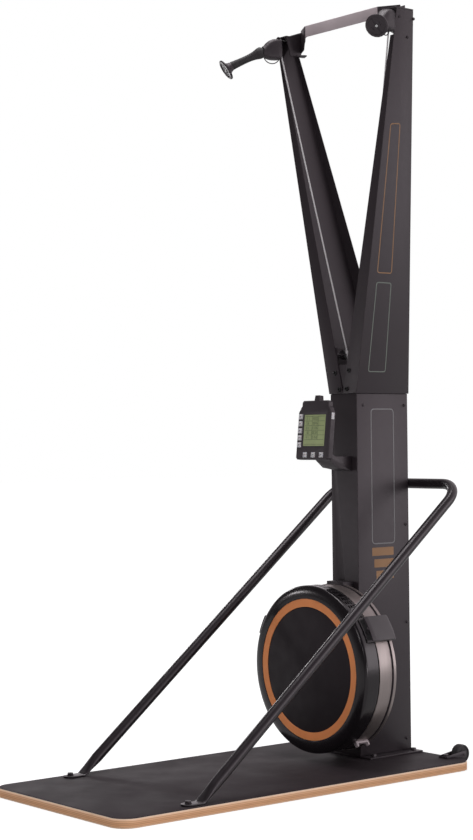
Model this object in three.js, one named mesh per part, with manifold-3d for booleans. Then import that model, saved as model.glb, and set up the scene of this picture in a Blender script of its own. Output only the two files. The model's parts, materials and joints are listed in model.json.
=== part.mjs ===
// Ski ergometer on a floor platform: a standing pull machine with an air and magnet flywheel.
// Millimetres, +Z up. The user stands on the platform and faces +Y, and +X is the user's right.
// The origin lies on the floor, under the middle of the platform.

import * as THREE from 'three';
import { mergeVertices } from 'three/addons/utils/BufferGeometryUtils.js';
import Module from 'manifold-3d';

const wasm = await Module();
wasm.setup();

// General clearances and steps
const seat_gap = 0.3;
const run_gap = 0.4;
const cut_over = 5;
const weld_distance = 0.0005;
const bend_arc_steps = 6;
const wheel_sides = 40;
const disc_sides = 20;
const pulley_sides = 16;
const pin_sides = 12;
const tube_sides = 10;
const rope_sides = 6;

// Platform
const deck_length = 1240;
const deck_width = 600;
const deck_board_thickness = 23.5;
const deck_corner_radius = 50;
const mat_thickness = 1.5;
const mat_inset = 2;
const deck_top = deck_board_thickness + mat_thickness;
const deck_end = deck_length / 2;
const deck_side = deck_width / 2;

// Column
const column_width = 112;
const column_depth = 205;
const column_setback = 10;
const column_back = deck_end - column_setback;
const column_front = column_back - column_depth;
const column_wall = 3;
const column_lip = 14;
const junction_height = 1080;
const back_panel_thickness = 2;
const base_plate_thickness = 5;
const base_plate_side_margin = 42;
const base_plate_back_margin = 6;
const base_bolt_inset = 20;
const hex_across = 15;
const hex_height = 7;

// Upper arms: folded channels, open towards each other
const arm_top_height = 2160;
const arm_sheet = 3;
const arm_proud = 3;
const arm_top_outer = 261;
const arm_top_flange = 12;
const arm_top_forward = 20;
const arm_top_front = column_front - arm_top_forward;
const arm_top_depth = 66;
const arm_seam = 0.5;
const arm_v_rise = 5;
const arm_notch_height = 72;

// Liner that joins the column to the arms
const liner_wall = 3;
const liner_below = 80;
const liner_above = 135;
const liner_notch_width = 48;
const liner_notch_depth = 50;

// Arm heads, crossbar
const head_plate = 4;
const head_width = 48;
const head_inner_x = arm_top_outer - head_width;
const head_rise = 26;
const head_rear_overhang = 11;
const head_skirt = 56;
const head_bottom_front_set = 16;
const head_bottom_rear_set = 22;
const head_lip_reach = 24;
const head_lip_point = 6;
const hood_bolt_inset = 33;
const hood_bolt_forward = 17;
const bar_height = 33;
const bar_thickness = 5;
const bar_bend_run = 59;
const bar_bend_set = 34;
const bar_front_set = 27;
const bar_straight_half = head_inner_x - bar_bend_run;
const bar_front = arm_top_front + bar_front_set;
const bar_rear = bar_front + bar_bend_set;
const bar_tab = 16;

// Ropes and pulleys
const rope_radius = 2.3;
const rope_top_inset = 24;
const rope_top_forward = 6;
const pulley_drop = 35;
const rope_top_x = arm_top_outer - rope_top_inset;
const rope_top_y = arm_top_front - rope_top_forward;
const pulley_height = arm_top_height - pulley_drop;
const pulley_groove_radius = 19;
const pulley_rim_radius = 23;
const pulley_width = 15;
const pulley_flange = 1.5;
const pin_radius = 4;
const splay_angle = 18.9 * Math.PI / 180;
const idler_rise = 115;
const idler_height = junction_height + idler_rise;
const idler_groove_radius = 11.7;
const idler_rim_radius = 15;
const idler_width = 12;
const drum_rope_x = 18;
const drum_flange_radius = 24;
const drum_width = 18;
const drum_flange = 2;
const left_drum_set = 35;
const drum_spacing = 24;
const left_drum_y = column_front + left_drum_set;
const right_drum_y = left_drum_y + drum_spacing;

// Pulley housings, given along the handle's own direction from the rear of the pulley
const housing_half_width = 21;
const housing_wall = 3;
const housing_reach = 55.6;
const housing_top_rise = 30;
const housing_flat_share = 0.5;
const housing_tie_radius = 2.3;
const housing_well_share = 0.6;
const nose_radius = 16;
const housing_bottom_drop = 29;
const keeper_radius = 1.8;
const keeper_drop = 9;

// Handles
const left_dip_angle = 23.3 * Math.PI / 180;
const right_dip_angle = 16 * Math.PI / 180;
const handle_turn_angle = 25 * Math.PI / 180;
const disc_tilt_angle = 11.5 * Math.PI / 180;
const disc_turn_angle = 9 * Math.PI / 180;
const disc_groove_angle = 28 * Math.PI / 180;
const neck_drop = 10;
const grip_length = 103;
const head_end_radius = 17;
const grip_radius = 11;
const grip_end_radius = 13;
const disc_radius = 32.5;
const disc_thickness = 5;
const flare_depth = 24;
const disc_recess = 2;
const disc_slot_length = 12;
const disc_slot_width = 4;

// Stay: one tube bent to a U, from the front of the platform to the column's back
const stay_radius = 15;
const stay_edge_inset = 35;
const stay_top_inset = 44;
const stay_foot_set = 322;
const stay_foot_rise = 44;
const stay_half_width = deck_side - stay_edge_inset;
const stay_top_half_width = deck_side - stay_top_inset;
const stay_foot_y = stay_foot_set - deck_end;
const stay_foot_z = deck_top + stay_foot_rise;
const stay_slope = 0.8035;
const stay_bend_radius = 78;
const stay_standoff = 4;
const stay_flat_thickness = 5;
const stay_flat_length = 58;
const stay_flat_width = 40;
const stay_neck_length = 52;
const saddle_wall = 3;
const saddle_flange = 28;
const saddle_half_width = 14;

// Flywheel housing, turned about an axis along Y. Its stations are set off from the cover's rear edge.
const shell_radius = 240;
const shell_wall = 3;
const housing_clearance = 24;
const axis_height = deck_top + housing_clearance + shell_radius;
const cover_standoff = 98;
const cover_depth = 49;
const cover_rim_proud = 3.5;
const cover_shoulder_depth = 9;
const front_cover_back_y = column_front - cover_standoff;
const face_y = front_cover_back_y - cover_depth;
const rim_front_y = face_y - cover_rim_proud;
const shoulder_y = face_y + cover_shoulder_depth;
const rim_width = 37.6;
const rim_lip_width = 33;
const rim_inner_radius = shell_radius - rim_width;
const rim_lip_radius = shell_radius - rim_lip_width;
const accent_width = 23;
const accent_outer_radius = rim_inner_radius - run_gap;
const accent_inner_radius = accent_outer_radius - accent_width;
const accent_thickness = 2;
const panel_thickness = 1.5;
const groove_depth = 7;
const groove_radius = shell_radius - groove_depth;
const band_gap = 6;
const band_front_y = front_cover_back_y + band_gap;
const band_width = 46;
const band_thickness = 3;
const band_drop = 2;
const boss_start = 146 * Math.PI / 180;
const boss_end = 160 * Math.PI / 180;
const boss_rise = 12;
const boss_set = 7;
const boss_length = 29;
const boss_radius = shell_radius + boss_rise;
const boss_back_y = front_cover_back_y - boss_set;
const boss_front_y = boss_back_y - boss_length;
const rear_rim_gap = 4;
const rear_rim_width = 11;
const rear_rim_y = band_front_y + band_width + rear_rim_gap;
const rear_lug_half_width = 35;
const rear_lug_sink = 15;
const rear_lug_rise = 6;
const rear_lug_inner_radius = shell_radius - rear_lug_sink;
const rear_lug_outer_radius = shell_radius + rear_lug_rise;
const rear_dish_rim = 44;
const rear_dish_depth = 9;
const rear_dish_radius = shell_radius - rear_dish_rim;
const rear_hub_radius = 62;
const rear_hub_bore = 34;
const rear_face_set = 13;
const rear_face_y = column_front - rear_face_set;
const spigot_length = 10;
const spigot_front_y = front_cover_back_y - spigot_length;
const intake_count = 6;
const intake_inner_radius = 92;
const intake_outer_radius = 150;
const intake_width = 16;
const band_open_angle = 35 * Math.PI / 180;
const foot_lug_width = 12;
const foot_lug_height = 9;
const foot_lug_ear = 9;

// Vent grille in the top of the front cover
const vent_half_angle = 50 * Math.PI / 180;
const vent_set = 18;
const vent_front_y = face_y + vent_set;
const vent_rows = 3;
const vent_columns = 22;
const vent_margin = 2;
const vent_hole_share = 0.6;

// Fan, axle and bearings
const axle_radius = 8;
const axle_front_set = 75;
const axle_back_set = 110;
const axle_front_y = column_front - axle_front_set;
const axle_back_y = column_front + axle_back_set;
const magnet_clearance = 3;
const magnet_thickness = 13;
const magnet_air_gap = 9;
const magnet_depth = 22;
const magnet_outer_radius = groove_radius - shell_wall - magnet_clearance;
const magnet_inner_radius = magnet_outer_radius - magnet_thickness;
const fan_radius = magnet_inner_radius - magnet_air_gap;
const fan_hub_radius = 30;
const fan_plate_set = 37;
const fan_depth = 46;
const fan_plate_y = column_front - fan_plate_set;
const fan_plate = 3;
const fan_blade_front_y = fan_plate_y - fan_depth;
const fan_blade_root = 70;
const fan_blade_thickness = 2.5;
const fan_blade_count = 16;
const fan_blade_lean = 20 * Math.PI / 180;
const fan_ring_width = 10;
const fan_ring_depth = 4;
const bearing_boss_radius = 20;
const bearing_flange_radius = 44;
const bearing_flange = 4;
const front_bearing_length = 12;
const bridge_set = 103;
const rear_bearing_lead = 10;
const bridge_y = column_front + bridge_set;
const rear_bearing_y = bridge_y - rear_bearing_lead;
const bridge_plate = 4;
const bridge_height = 120;
const bridge_flange = 24;
const recoil_radius = 45;
const recoil_width = 8;
const recoil_tab = 16;

// Resistance lever, set round the rim
const lever_angle = 31 * Math.PI / 180;
const lever_half_angle = 8.2 * Math.PI / 180;
const lever_thickness = 14;
const lever_front_set = 12;
const lever_length = 62;
const lever_front_y = front_cover_back_y + lever_front_set;
const lever_back_y = lever_front_y + lever_length;
const lever_hook_gap = 2.2;
const lever_hook = 7;
const lever_link = 4;
const lever_link_half_angle = 3 * Math.PI / 180;
const knob_length = 28;
const knob_front_y = lever_front_y - knob_length;
const knob_button_radius = 5;
const knob_button_height = 3;
const slot_down_angle = 46 * Math.PI / 180;
const slot_up_angle = 10 * Math.PI / 180;

// Console
const console_reach = 109;
const console_drop = 106;
const console_y = column_front - console_reach;
const console_z = junction_height - console_drop;
const console_tilt = 6 * Math.PI / 180;
const console_width = 140;
const console_top_width = 114;
const console_height = 171;
const console_depth = 20;
const console_shoulder = 34;
const console_corner = 5;
const console_tab_width = 22;
const console_tab_height = 15;
const console_tab_shift = 5;
const screen_size = 91;
const screen_rise = -1;
const screen_shift = 4;
const screen_recess = 2;
const button_width = 13;
const button_height = 12;
const button_depth = 4;
const button_proud = 2;
const button_travel = 1.5;
const button_spare = 0.8;
const side_button_x = -58;
const side_button_top = 39;
const side_button_pitch = 20.5;
const side_button_count = 5;
const low_button_x = -30;
const low_button_pitch = 35;
const low_button_z = -72;
const low_button_count = 3;
const console_pivot_set = 22;
const console_pivot_drop = 69;
const console_pivot_y = console_y + console_pivot_set;
const console_pivot_z = console_z - console_pivot_drop;
const console_lug_radius = 9;
const console_lug_half = 24;
const bracket_half = 31;
const bracket_plate = 3;
const bracket_top_drop = 7;
const bracket_height = 43;
const bracket_top_z = console_pivot_z - bracket_top_drop;
const bracket_bottom_z = bracket_top_z - bracket_height;
const bracket_nose_radius = 12;
const bracket_nose_end = 225 * Math.PI / 180;
const bracket_chin_reach = 57;
const bracket_chin_rise = 10;
const bracket_chin_y = column_front - bracket_chin_reach;
const bracket_chin_z = bracket_bottom_z + bracket_chin_rise;
const bracket_lip_share = 0.25;

// Transport wheels behind the platform
const wheel_radius = 27;
const wheel_width = 26;
const wheel_inset = 84;
const wheel_overhang = 30;
const wheel_lift = 4;
const wheel_x = deck_side - wheel_inset;
const wheel_y = deck_end + wheel_overhang;
const wheel_z = wheel_radius + wheel_lift;
const wheel_hub_radius = 12;
const wheel_groove = 2;
const wheel_plate = 3;
const wheel_foot_length = 42;
const wheel_cheek_margin = 9;

// Finishes
const black_steel = { color: 0x2a282b, roughness: 0.55, metalness: 0.5 };
const black_plastic = { color: 0x1d1c1f, roughness: 0.45, metalness: 0 };
const gloss_black = { color: 0x121214, roughness: 0.15, metalness: 0 };
const grey_paint = { color: 0x7d767a, roughness: 0.5, metalness: 0.4 };
const brushed = { color: 0x8a8080, roughness: 0.35, metalness: 0.9 };
const bright_steel = { color: 0xb5b5b8, roughness: 0.3, metalness: 1 };
const plywood = { color: 0xc9a27a, roughness: 0.7, metalness: 0 };
const mat_black = { color: 0x3a393c, roughness: 0.9, metalness: 0 };
const accent_orange = { color: 0xc96a2c, roughness: 0.5, metalness: 0 };
const rope_white = { color: 0xe6e2e4, roughness: 0.8, metalness: 0 };
const rubber_black = { color: 0x262427, roughness: 0.85, metalness: 0 };
const screen_green = { color: 0x75a04a, roughness: 0.3, metalness: 0 };
const button_white = { color: 0xd8d6da, roughness: 0.6, metalness: 0 };

// Solids and boolean helpers

function outward(geometry) {
  const bare = geometry.index ? geometry.clone() : mergeVertices(stripped(geometry), weld_distance);
  const clean = mergeVertices(stripped(bare), weld_distance);
  const p = clean.attributes.position;
  const index = clean.index.array;
  let volume = 0;
  const a = new THREE.Vector3();
  const b = new THREE.Vector3();
  const c = new THREE.Vector3();
  for (let i = 0; i < index.length; i += 3) {
    a.fromBufferAttribute(p, index[i]);
    b.fromBufferAttribute(p, index[i + 1]);
    c.fromBufferAttribute(p, index[i + 2]);
    volume += a.dot(b.cross(c));
  }
  if (volume < 0) {
    for (let i = 0; i < index.length; i += 3) {
      [index[i + 1], index[i + 2]] = [index[i + 2], index[i + 1]];
    }
  }
  return clean;
}

function stripped(geometry) {
  const bare = geometry.clone();
  bare.deleteAttribute('normal');
  bare.deleteAttribute('uv');
  return bare;
}

function solid(shape) {
  if (!(shape instanceof THREE.BufferGeometry)) return shape;
  const clean = outward(shape);
  return new wasm.Manifold(new wasm.Mesh({
    numProp: 3,
    vertProperties: new Float32Array(clean.attributes.position.array),
    triVerts: new Uint32Array(clean.index.array),
  }));
}

function joined(...shapes) {
  return shapes.map(solid).reduce((sum, shape) => sum.add(shape));
}

function cut(body, ...tools) {
  return tools.map(solid).reduce((rest, tool) => rest.subtract(tool), solid(body));
}

function common(...shapes) {
  return shapes.map(solid).reduce((rest, shape) => rest.intersect(shape));
}

function toGeometry(shape) {
  if (shape instanceof THREE.BufferGeometry) return outward(shape);
  const mesh = shape.getMesh();
  const geometry = new THREE.BufferGeometry();
  const count = mesh.vertProperties.length / mesh.numProp;
  const positions = new Float32Array(count * 3);
  for (let i = 0; i < count; i += 1) {
    for (let k = 0; k < 3; k += 1) positions[i * 3 + k] = mesh.vertProperties[i * mesh.numProp + k];
  }
  geometry.setAttribute('position', new THREE.BufferAttribute(positions, 3));
  geometry.setIndex(new THREE.BufferAttribute(new Uint32Array(mesh.triVerts), 1));
  return geometry;
}

// Shape helpers. Each takes real sizes and returns a closed geometry.

function box(x0, x1, y0, y1, z0, z1) {
  const geometry = new THREE.BoxGeometry(x1 - x0, y1 - y0, z1 - z0);
  geometry.translate((x0 + x1) / 2, (y0 + y1) / 2, (z0 + z1) / 2);
  return geometry;
}

function outline(points) {
  return new THREE.Shape(points.map(([u, v]) => new THREE.Vector2(u, v)));
}

function extruded(shape, depth) {
  return new THREE.ExtrudeGeometry(shape, { depth, bevelEnabled: false, curveSegments: bend_arc_steps });
}

// The outline's first coordinate runs along X and its second along Y.
function alongZ(shape, z0, z1) {
  return extruded(shape, z1 - z0).translate(0, 0, z0);
}

// The outline's first coordinate runs along X and its second along Z.
function alongY(shape, y0, y1) {
  return extruded(shape, y1 - y0).rotateX(Math.PI / 2).translate(0, y1, 0);
}

// The outline's first coordinate runs along Y and its second along Z.
function alongX(shape, x0, x1) {
  const turn = new THREE.Matrix4().makeBasis(
    new THREE.Vector3(0, 1, 0), new THREE.Vector3(0, 0, 1), new THREE.Vector3(1, 0, 0));
  return extruded(shape, x1 - x0).applyMatrix4(turn).translate(x0, 0, 0);
}

function roundedRectangle(width, length, radius) {
  const shape = new THREE.Shape();
  const x = width / 2 - radius;
  const y = length / 2 - radius;
  shape.absarc(x, y, radius, 0, Math.PI / 2);
  shape.absarc(-x, y, radius, Math.PI / 2, Math.PI);
  shape.absarc(-x, -y, radius, Math.PI, Math.PI * 1.5);
  shape.absarc(x, -y, radius, Math.PI * 1.5, Math.PI * 2);
  return shape;
}

// A piece of a ring in the XZ plane, centred on the origin, from angle a0 to a1 above +X.
// Its inner flats stay outside the inner radius.
function sector(inner, outer, a0, a1, y0, y1, steps) {
  const points = [];
  for (let i = 0; i <= steps; i += 1) {
    const a = a0 + (a1 - a0) * i / steps;
    points.push([outer * Math.cos(a), outer * Math.sin(a)]);
  }
  const clear = inner / Math.cos((a1 - a0) / steps / 2);
  for (let i = steps; i >= 0; i -= 1) {
    const a = a0 + (a1 - a0) * i / steps;
    points.push([clear * Math.cos(a), clear * Math.sin(a)]);
  }
  return alongY(outline(points), y0, y1);
}

// A profile of [radius, y] pairs turned about the Y axis.
function turned(profile, sides) {
  return new THREE.LatheGeometry(profile.map(([r, y]) => new THREE.Vector2(r, y)), sides);
}

function ring(inner, outer, y0, y1, sides) {
  return turned([[inner, y0], [outer, y0], [outer, y1], [inner, y1], [inner, y0]], sides);
}

function rod(from, to, radius, sides) {
  const axis = new THREE.Vector3().subVectors(to, from);
  const geometry = new THREE.CylinderGeometry(radius, radius, axis.length(), sides);
  const turn = new THREE.Quaternion().setFromUnitVectors(
    new THREE.Vector3(0, 1, 0), axis.clone().normalize());
  geometry.applyQuaternion(turn);
  const middle = new THREE.Vector3().addVectors(from, to).multiplyScalar(0.5);
  return geometry.translate(middle.x, middle.y, middle.z);
}

// A hexagonal bolt head that stands on z0.
function hexHead(x, y, z0) {
  const corner_radius = hex_across / Math.sqrt(3);
  const head = new THREE.CylinderGeometry(corner_radius, corner_radius, hex_height, 6);
  return head.rotateX(Math.PI / 2).translate(x, y, z0 + hex_height / 2);
}

// A route whose tube takes one ring at each station.
class Route extends THREE.Curve {
  constructor(stations) {
    super();
    this.stations = stations;
  }

  place(t) {
    return Math.round(t * (this.stations.length - 1));
  }

  getPoint(t) {
    return this.stations[this.place(t)].clone();
  }

  getPointAt(t) {
    return this.getPoint(t);
  }

  getTangentAt(t) {
    const i = this.place(t);
    const next = this.stations[Math.min(i + 1, this.stations.length - 1)];
    const before = this.stations[Math.max(i - 1, 0)];
    return new THREE.Vector3().subVectors(next, before).normalize();
  }
}

function tube(stations, radius, sides) {
  const section = [];
  for (let i = 0; i < sides; i += 1) {
    const a = i / sides * Math.PI * 2;
    section.push([radius * Math.cos(a), radius * Math.sin(a)]);
  }
  return new THREE.ExtrudeGeometry(outline(section), {
    steps: stations.length - 1, extrudePath: new Route(stations), bevelEnabled: false,
  });
}

// The stations of a polyline whose inner corners are rounded to one radius.
function roundedRoute(corners, radius) {
  const stations = [corners[0]];
  for (let i = 1; i < corners.length - 1; i += 1) {
    const back = new THREE.Vector3().subVectors(corners[i - 1], corners[i]).normalize();
    const on = new THREE.Vector3().subVectors(corners[i + 1], corners[i]).normalize();
    const half = Math.acos(back.dot(on)) / 2;
    const centre = corners[i].clone().addScaledVector(
      back.clone().add(on).normalize(), radius / Math.sin(half));
    const first = corners[i].clone().addScaledVector(back, radius / Math.tan(half));
    const arm = new THREE.Vector3().subVectors(first, centre);
    const turn_axis = new THREE.Vector3().crossVectors(on, back).normalize().negate();
    const sweep = Math.PI - half * 2;
    for (let k = 0; k <= bend_arc_steps; k += 1) {
      const spoke = arm.clone().applyAxisAngle(turn_axis, -sweep * k / bend_arc_steps);
      stations.push(centre.clone().add(spoke));
    }
  }
  stations.push(corners[corners.length - 1]);
  return stations;
}

// A closed skin through rings that each have the same number of points.
function lofted(rings) {
  const count = rings[0].length;
  const positions = [];
  const faces = [];
  rings.flat().forEach((p) => positions.push(p.x, p.y, p.z));
  for (let i = 0; i < rings.length - 1; i += 1) {
    for (let k = 0; k < count; k += 1) {
      const a = i * count + k;
      const b = i * count + (k + 1) % count;
      faces.push(a, b, b + count, a, b + count, a + count);
    }
  }
  const last = (rings.length - 1) * count;
  for (let k = 1; k < count - 1; k += 1) {
    faces.push(0, k + 1, k);
    faces.push(last, last + k, last + k + 1);
  }
  const geometry = new THREE.BufferGeometry();
  geometry.setAttribute('position', new THREE.Float32BufferAttribute(positions, 3));
  geometry.setIndex(faces);
  return geometry;
}

function ellipse(centre, across, along, half_across, half_along, sides) {
  const points = [];
  for (let i = 0; i < sides; i += 1) {
    const a = (i + 0.5) / sides * Math.PI * 2;
    points.push(centre.clone()
      .addScaledVector(across, half_across * Math.cos(a))
      .addScaledVector(along, half_along * Math.sin(a)));
  }
  return points;
}

// The outline of a flat bar bent along a line, of one thickness.
function bentBar(line, thickness) {
  const path = line.map(([u, v]) => new THREE.Vector2(u, v));
  const side = (sign) => path.map((p, i) => {
    const before = path[Math.max(i - 1, 0)];
    const next = path[Math.min(i + 1, path.length - 1)];
    const into = new THREE.Vector2().subVectors(p, before).normalize();
    const away = new THREE.Vector2().subVectors(next, p).normalize();
    if (i === 0) into.copy(away);
    if (i === path.length - 1) away.copy(into);
    const mitre = new THREE.Vector2(-into.y - away.y, into.x + away.x).normalize();
    const reach = thickness / 2 / mitre.dot(new THREE.Vector2(-into.y, into.x));
    return [p.x + sign * mitre.x * reach, p.y + sign * mitre.y * reach];
  });
  return outline([...side(1), ...side(-1).reverse()]);
}

const assembly = new THREE.Group();

function add(name, shape, finish, parent = assembly) {
  const mesh = new THREE.Mesh(toGeometry(shape), new THREE.MeshStandardMaterial(finish));
  mesh.name = name;
  parent.add(mesh);
  return mesh;
}

function v3(x, y, z) {
  return new THREE.Vector3(x, y, z);
}

// Left and right are the user's. The right side lies at +X.
const sides = [{ name: 'left', sign: -1 }, { name: 'right', sign: 1 }];

// Platform

function makePlatform() {
  const board = roundedRectangle(deck_width, deck_length, deck_corner_radius);
  add('deck_board', alongZ(board, 0, deck_board_thickness), plywood);
  const mat = roundedRectangle(
    deck_width - mat_inset * 2, deck_length - mat_inset * 2, deck_corner_radius - mat_inset);
  add('deck_mat', alongZ(mat, deck_board_thickness, deck_top), mat_black);
}

// Column, its foot and its back panel

const column_half = column_width / 2;
const column_foot_z = deck_top + base_plate_thickness;
const column_top_z = junction_height - seat_gap;

function makeColumn() {
  const plate_half = column_half + base_plate_side_margin;
  const plate_back = column_back + base_plate_back_margin;
  const bolt_x = plate_half - base_bolt_inset;
  const bolts = [];
  for (const sign of [-1, 1]) {
    bolts.push(hexHead(sign * bolt_x, column_front + base_bolt_inset * 1.5, column_foot_z));
    bolts.push(hexHead(sign * bolt_x, plate_back - base_bolt_inset, column_foot_z));
  }
  const plate = box(-plate_half, plate_half, column_front, plate_back, deck_top, column_foot_z);
  add('base_plate', joined(plate, ...bolts), black_steel);

  const inner_half = column_half - column_wall;
  const lip_x = column_half - column_lip;
  const section = outline([
    [-column_half, column_front], [column_half, column_front], [column_half, column_back],
    [lip_x, column_back], [lip_x, column_back - column_wall], [inner_half, column_back - column_wall],
    [inner_half, column_front + column_wall], [-inner_half, column_front + column_wall],
    [-inner_half, column_back - column_wall], [-lip_x, column_back - column_wall],
    [-lip_x, column_back], [-column_half, column_back],
  ]);
  const shell = alongZ(section, column_foot_z, column_top_z);
  const axle_hole = rod(
    v3(0, column_front - cut_over, axis_height),
    v3(0, column_front + column_wall + cut_over, axis_height), bearing_boss_radius + run_gap, disc_sides);
  add('lower_column', cut(shell, axle_hole), black_steel);

  const panel_back = column_back - column_wall - seat_gap;
  add('column_back_panel', box(
    -inner_half + run_gap, inner_half - run_gap, panel_back - back_panel_thickness, panel_back,
    column_foot_z + seat_gap, column_top_z - seat_gap), black_steel);
}

// Upper arms

const arm_foot_half = column_half + arm_proud;
const arm_rise = arm_top_height - junction_height;

function armOuterX(z) {
  return arm_foot_half + (arm_top_outer - arm_foot_half) * (z - junction_height) / arm_rise;
}

function armFrontY(z) {
  const foot = column_front - arm_proud;
  return foot + (arm_top_front - foot) * (z - junction_height) / arm_rise;
}

function armBackY(z) {
  const foot = column_back + arm_proud;
  return foot + (arm_top_front + arm_top_depth - foot) * (z - junction_height) / arm_rise;
}

function mirrored(points, sign) {
  return outline(points.map(([x, z]) => [sign * x, z]));
}

function makeArms() {
  const top = arm_top_height;
  const foot = junction_height;
  const front = [
    [arm_seam / 2, foot], [arm_foot_half, foot], [arm_top_outer, top],
    [arm_top_outer - arm_top_flange, top], [arm_seam / 2, foot + arm_v_rise],
  ];
  const low = foot - cut_over;
  const high = top + cut_over;
  const hollow = [
    [-cut_over, low], [armOuterX(low) - arm_sheet, low],
    [armOuterX(high) - arm_sheet, high], [-cut_over, high],
  ];
  const side = outline([
    [armFrontY(foot), foot], [armBackY(foot), foot], [armBackY(top), top], [armFrontY(top), top],
  ]);
  const side_hollow = outline([
    [armFrontY(low) + arm_sheet, low], [armBackY(low) - arm_sheet, low],
    [armBackY(high) - arm_sheet, high], [armFrontY(high) + arm_sheet, high],
  ]);
  for (const { name, sign } of sides) {
    const reach = arm_top_outer + cut_over;
    const near = column_front - cut_over * 10;
    const far = column_back + cut_over * 10;
    const outer = common(alongY(mirrored(front, sign), near, far), alongX(side, -reach, reach));
    const hollow_body = common(
      alongY(mirrored(hollow, sign), near, far), alongX(side_hollow, -reach, reach));
    const notch_z = top - arm_notch_height;
    const notch = alongY(mirrored([
      [0, notch_z], [armOuterX(notch_z) - arm_sheet, notch_z],
      [armOuterX(high) - arm_sheet, high], [0, high],
    ], sign), near, armFrontY(notch_z) + arm_sheet);
    add(`${name}_arm`, cut(outer, hollow_body, notch), black_steel);
  }
}

// Liner inside the joint, with two ears that carry the rope idlers

function makeLiner() {
  const low = junction_height - liner_below;
  const step = junction_height + seat_gap;
  const high = junction_height + liner_above;
  const column_in = column_wall + seat_gap;
  const skin = (inset, bottom, top) => {
    const shelf = step + inset;
    return outline([
      [column_front + column_in + inset, bottom], [column_front + column_in + inset, shelf],
      [armFrontY(shelf) + arm_sheet + seat_gap + inset, shelf],
      [armFrontY(top) + arm_sheet + seat_gap + inset, top],
      [armBackY(top) - arm_sheet - seat_gap - inset, top],
      [armBackY(shelf) - arm_sheet - seat_gap - inset, shelf],
      [panel_front - seat_gap - inset, shelf], [panel_front - seat_gap - inset, bottom],
    ]);
  };
  const half = column_half - column_in;
  const outer = alongX(skin(0, low, high), -half, half);
  const inner = alongX(
    skin(liner_wall, low - cut_over, high + cut_over), -half + liner_wall, half - liner_wall);
  const notch = box(
    -liner_notch_width / 2, liner_notch_width / 2, column_front - cut_over * 2, left_drum_y - idler_width,
    high - liner_notch_depth, high + cut_over);
  const pins = sides.map(({ name, sign }) => {
    const y = drumY(name);
    const x = sign * idler_x;
    return rod(
      v3(x, armFrontY(idler_height) + arm_sheet + seat_gap + liner_wall / 2, idler_height),
      v3(x, y + idler_width, idler_height), pin_radius, pin_sides);
  });
  add('joint_liner', joined(cut(outer, inner, notch), ...pins), black_steel);
}

const panel_front = column_back - column_wall - seat_gap - back_panel_thickness;
const idler_x = drum_rope_x + idler_groove_radius + run_gap + rope_radius;

function drumY(name) {
  return name === 'left' ? left_drum_y : right_drum_y;
}

// Arm heads: a top plate, an inner cheek that rises to the crossbar, and a pointed lower lip

function makeHeads() {
  const top = arm_top_height + seat_gap;
  const rear = arm_top_front + arm_top_depth;
  const cheek = outline([
    [arm_top_front, top], [rear + head_rear_overhang, top + head_rise],
    [rear + head_rear_overhang, top - head_plate],
    [rear + head_rear_overhang - head_bottom_rear_set, top - head_skirt],
    [arm_top_front + head_bottom_front_set, top - head_skirt],
  ]);
  for (const { name, sign } of sides) {
    const span = (near, far) => [Math.min(sign * near, sign * far), Math.max(sign * near, sign * far)];
    const inner = head_inner_x;
    const plate = box(
      ...span(inner, arm_top_outer), arm_top_front, rear, top, top + head_plate);
    const cheek_body = alongX(cheek, ...span(inner, inner + head_plate));
    const lip = alongZ(outline([
      [sign * (inner + head_plate), arm_top_front + head_bottom_front_set],
      [sign * (inner + head_plate), rear], [sign * inner, rear + head_lip_point],
      [sign * (inner - head_lip_reach), rear - head_lip_point],
      [sign * inner, arm_top_front + head_bottom_front_set],
    ]), top - head_skirt, top - head_skirt + head_plate);
    add(`${name}_arm_head`, joined(plate, cheek_body, lip), black_steel);
  }
  const bar_x = head_inner_x - seat_gap - bar_thickness / 2;
  const line = [
    [-bar_x, bar_rear + bar_tab], [-bar_x, bar_rear], [-bar_straight_half, bar_front],
    [bar_straight_half, bar_front], [bar_x, bar_rear], [bar_x, bar_rear + bar_tab],
  ];
  const bar_top = top + head_rise - seat_gap;
  add('crossbar', alongZ(bentBar(line, bar_thickness), bar_top - bar_height, bar_top), grey_paint);
}

// Pulley head: housing, pulley and handle share one frame whose Y axis points the way the handle lies

function headFrame(sign) {
  const frame = new THREE.Group();
  frame.position.set(sign * rope_top_x, rope_top_y, pulley_height);
  frame.rotation.z = headTurn(sign);
  return frame;
}

const pulley_centre = pulley_groove_radius + seat_gap + rope_radius;
const neck_z = -neck_drop;

function grooved(groove_radius, rim_radius, width, bore) {
  const half = width / 2;
  const web = half - pulley_flange;
  const floor = rope_radius + run_gap;
  return turned([
    [bore, -half], [rim_radius, -half], [rim_radius, -web], [groove_radius, -floor],
    [groove_radius, floor], [rim_radius, web], [rim_radius, half], [bore, half], [bore, -half],
  ], pulley_sides);
}

function headTurn(sign) {
  return Math.PI + sign * splay_angle;
}

function dipAngle(sign) {
  return sign > 0 ? right_dip_angle : left_dip_angle;
}

function handleFrame(sign) {
  const handle = new THREE.Group();
  handle.position.set(0, housing_reach, neck_z);
  handle.rotation.set(-dipAngle(sign), 0, sign * handle_turn_angle, 'ZYX');
  handle.updateMatrix();
  return handle;
}

function neckPoint() {
  return v3(0, housing_reach - rope_radius, neck_z);
}

// The angle round the top pulley, from its rear over its top, at which the rope leaves for the neck.
function ropeWrap() {
  const across = neckPoint().y - pulley_centre;
  return Math.PI - Math.atan2(neck_z, across) - Math.acos(pulley_centre / Math.hypot(across, neck_z));
}

function ropeLeave() {
  const a = ropeWrap();
  return v3(0, pulley_centre - pulley_centre * Math.cos(a), pulley_centre * Math.sin(a));
}

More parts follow.
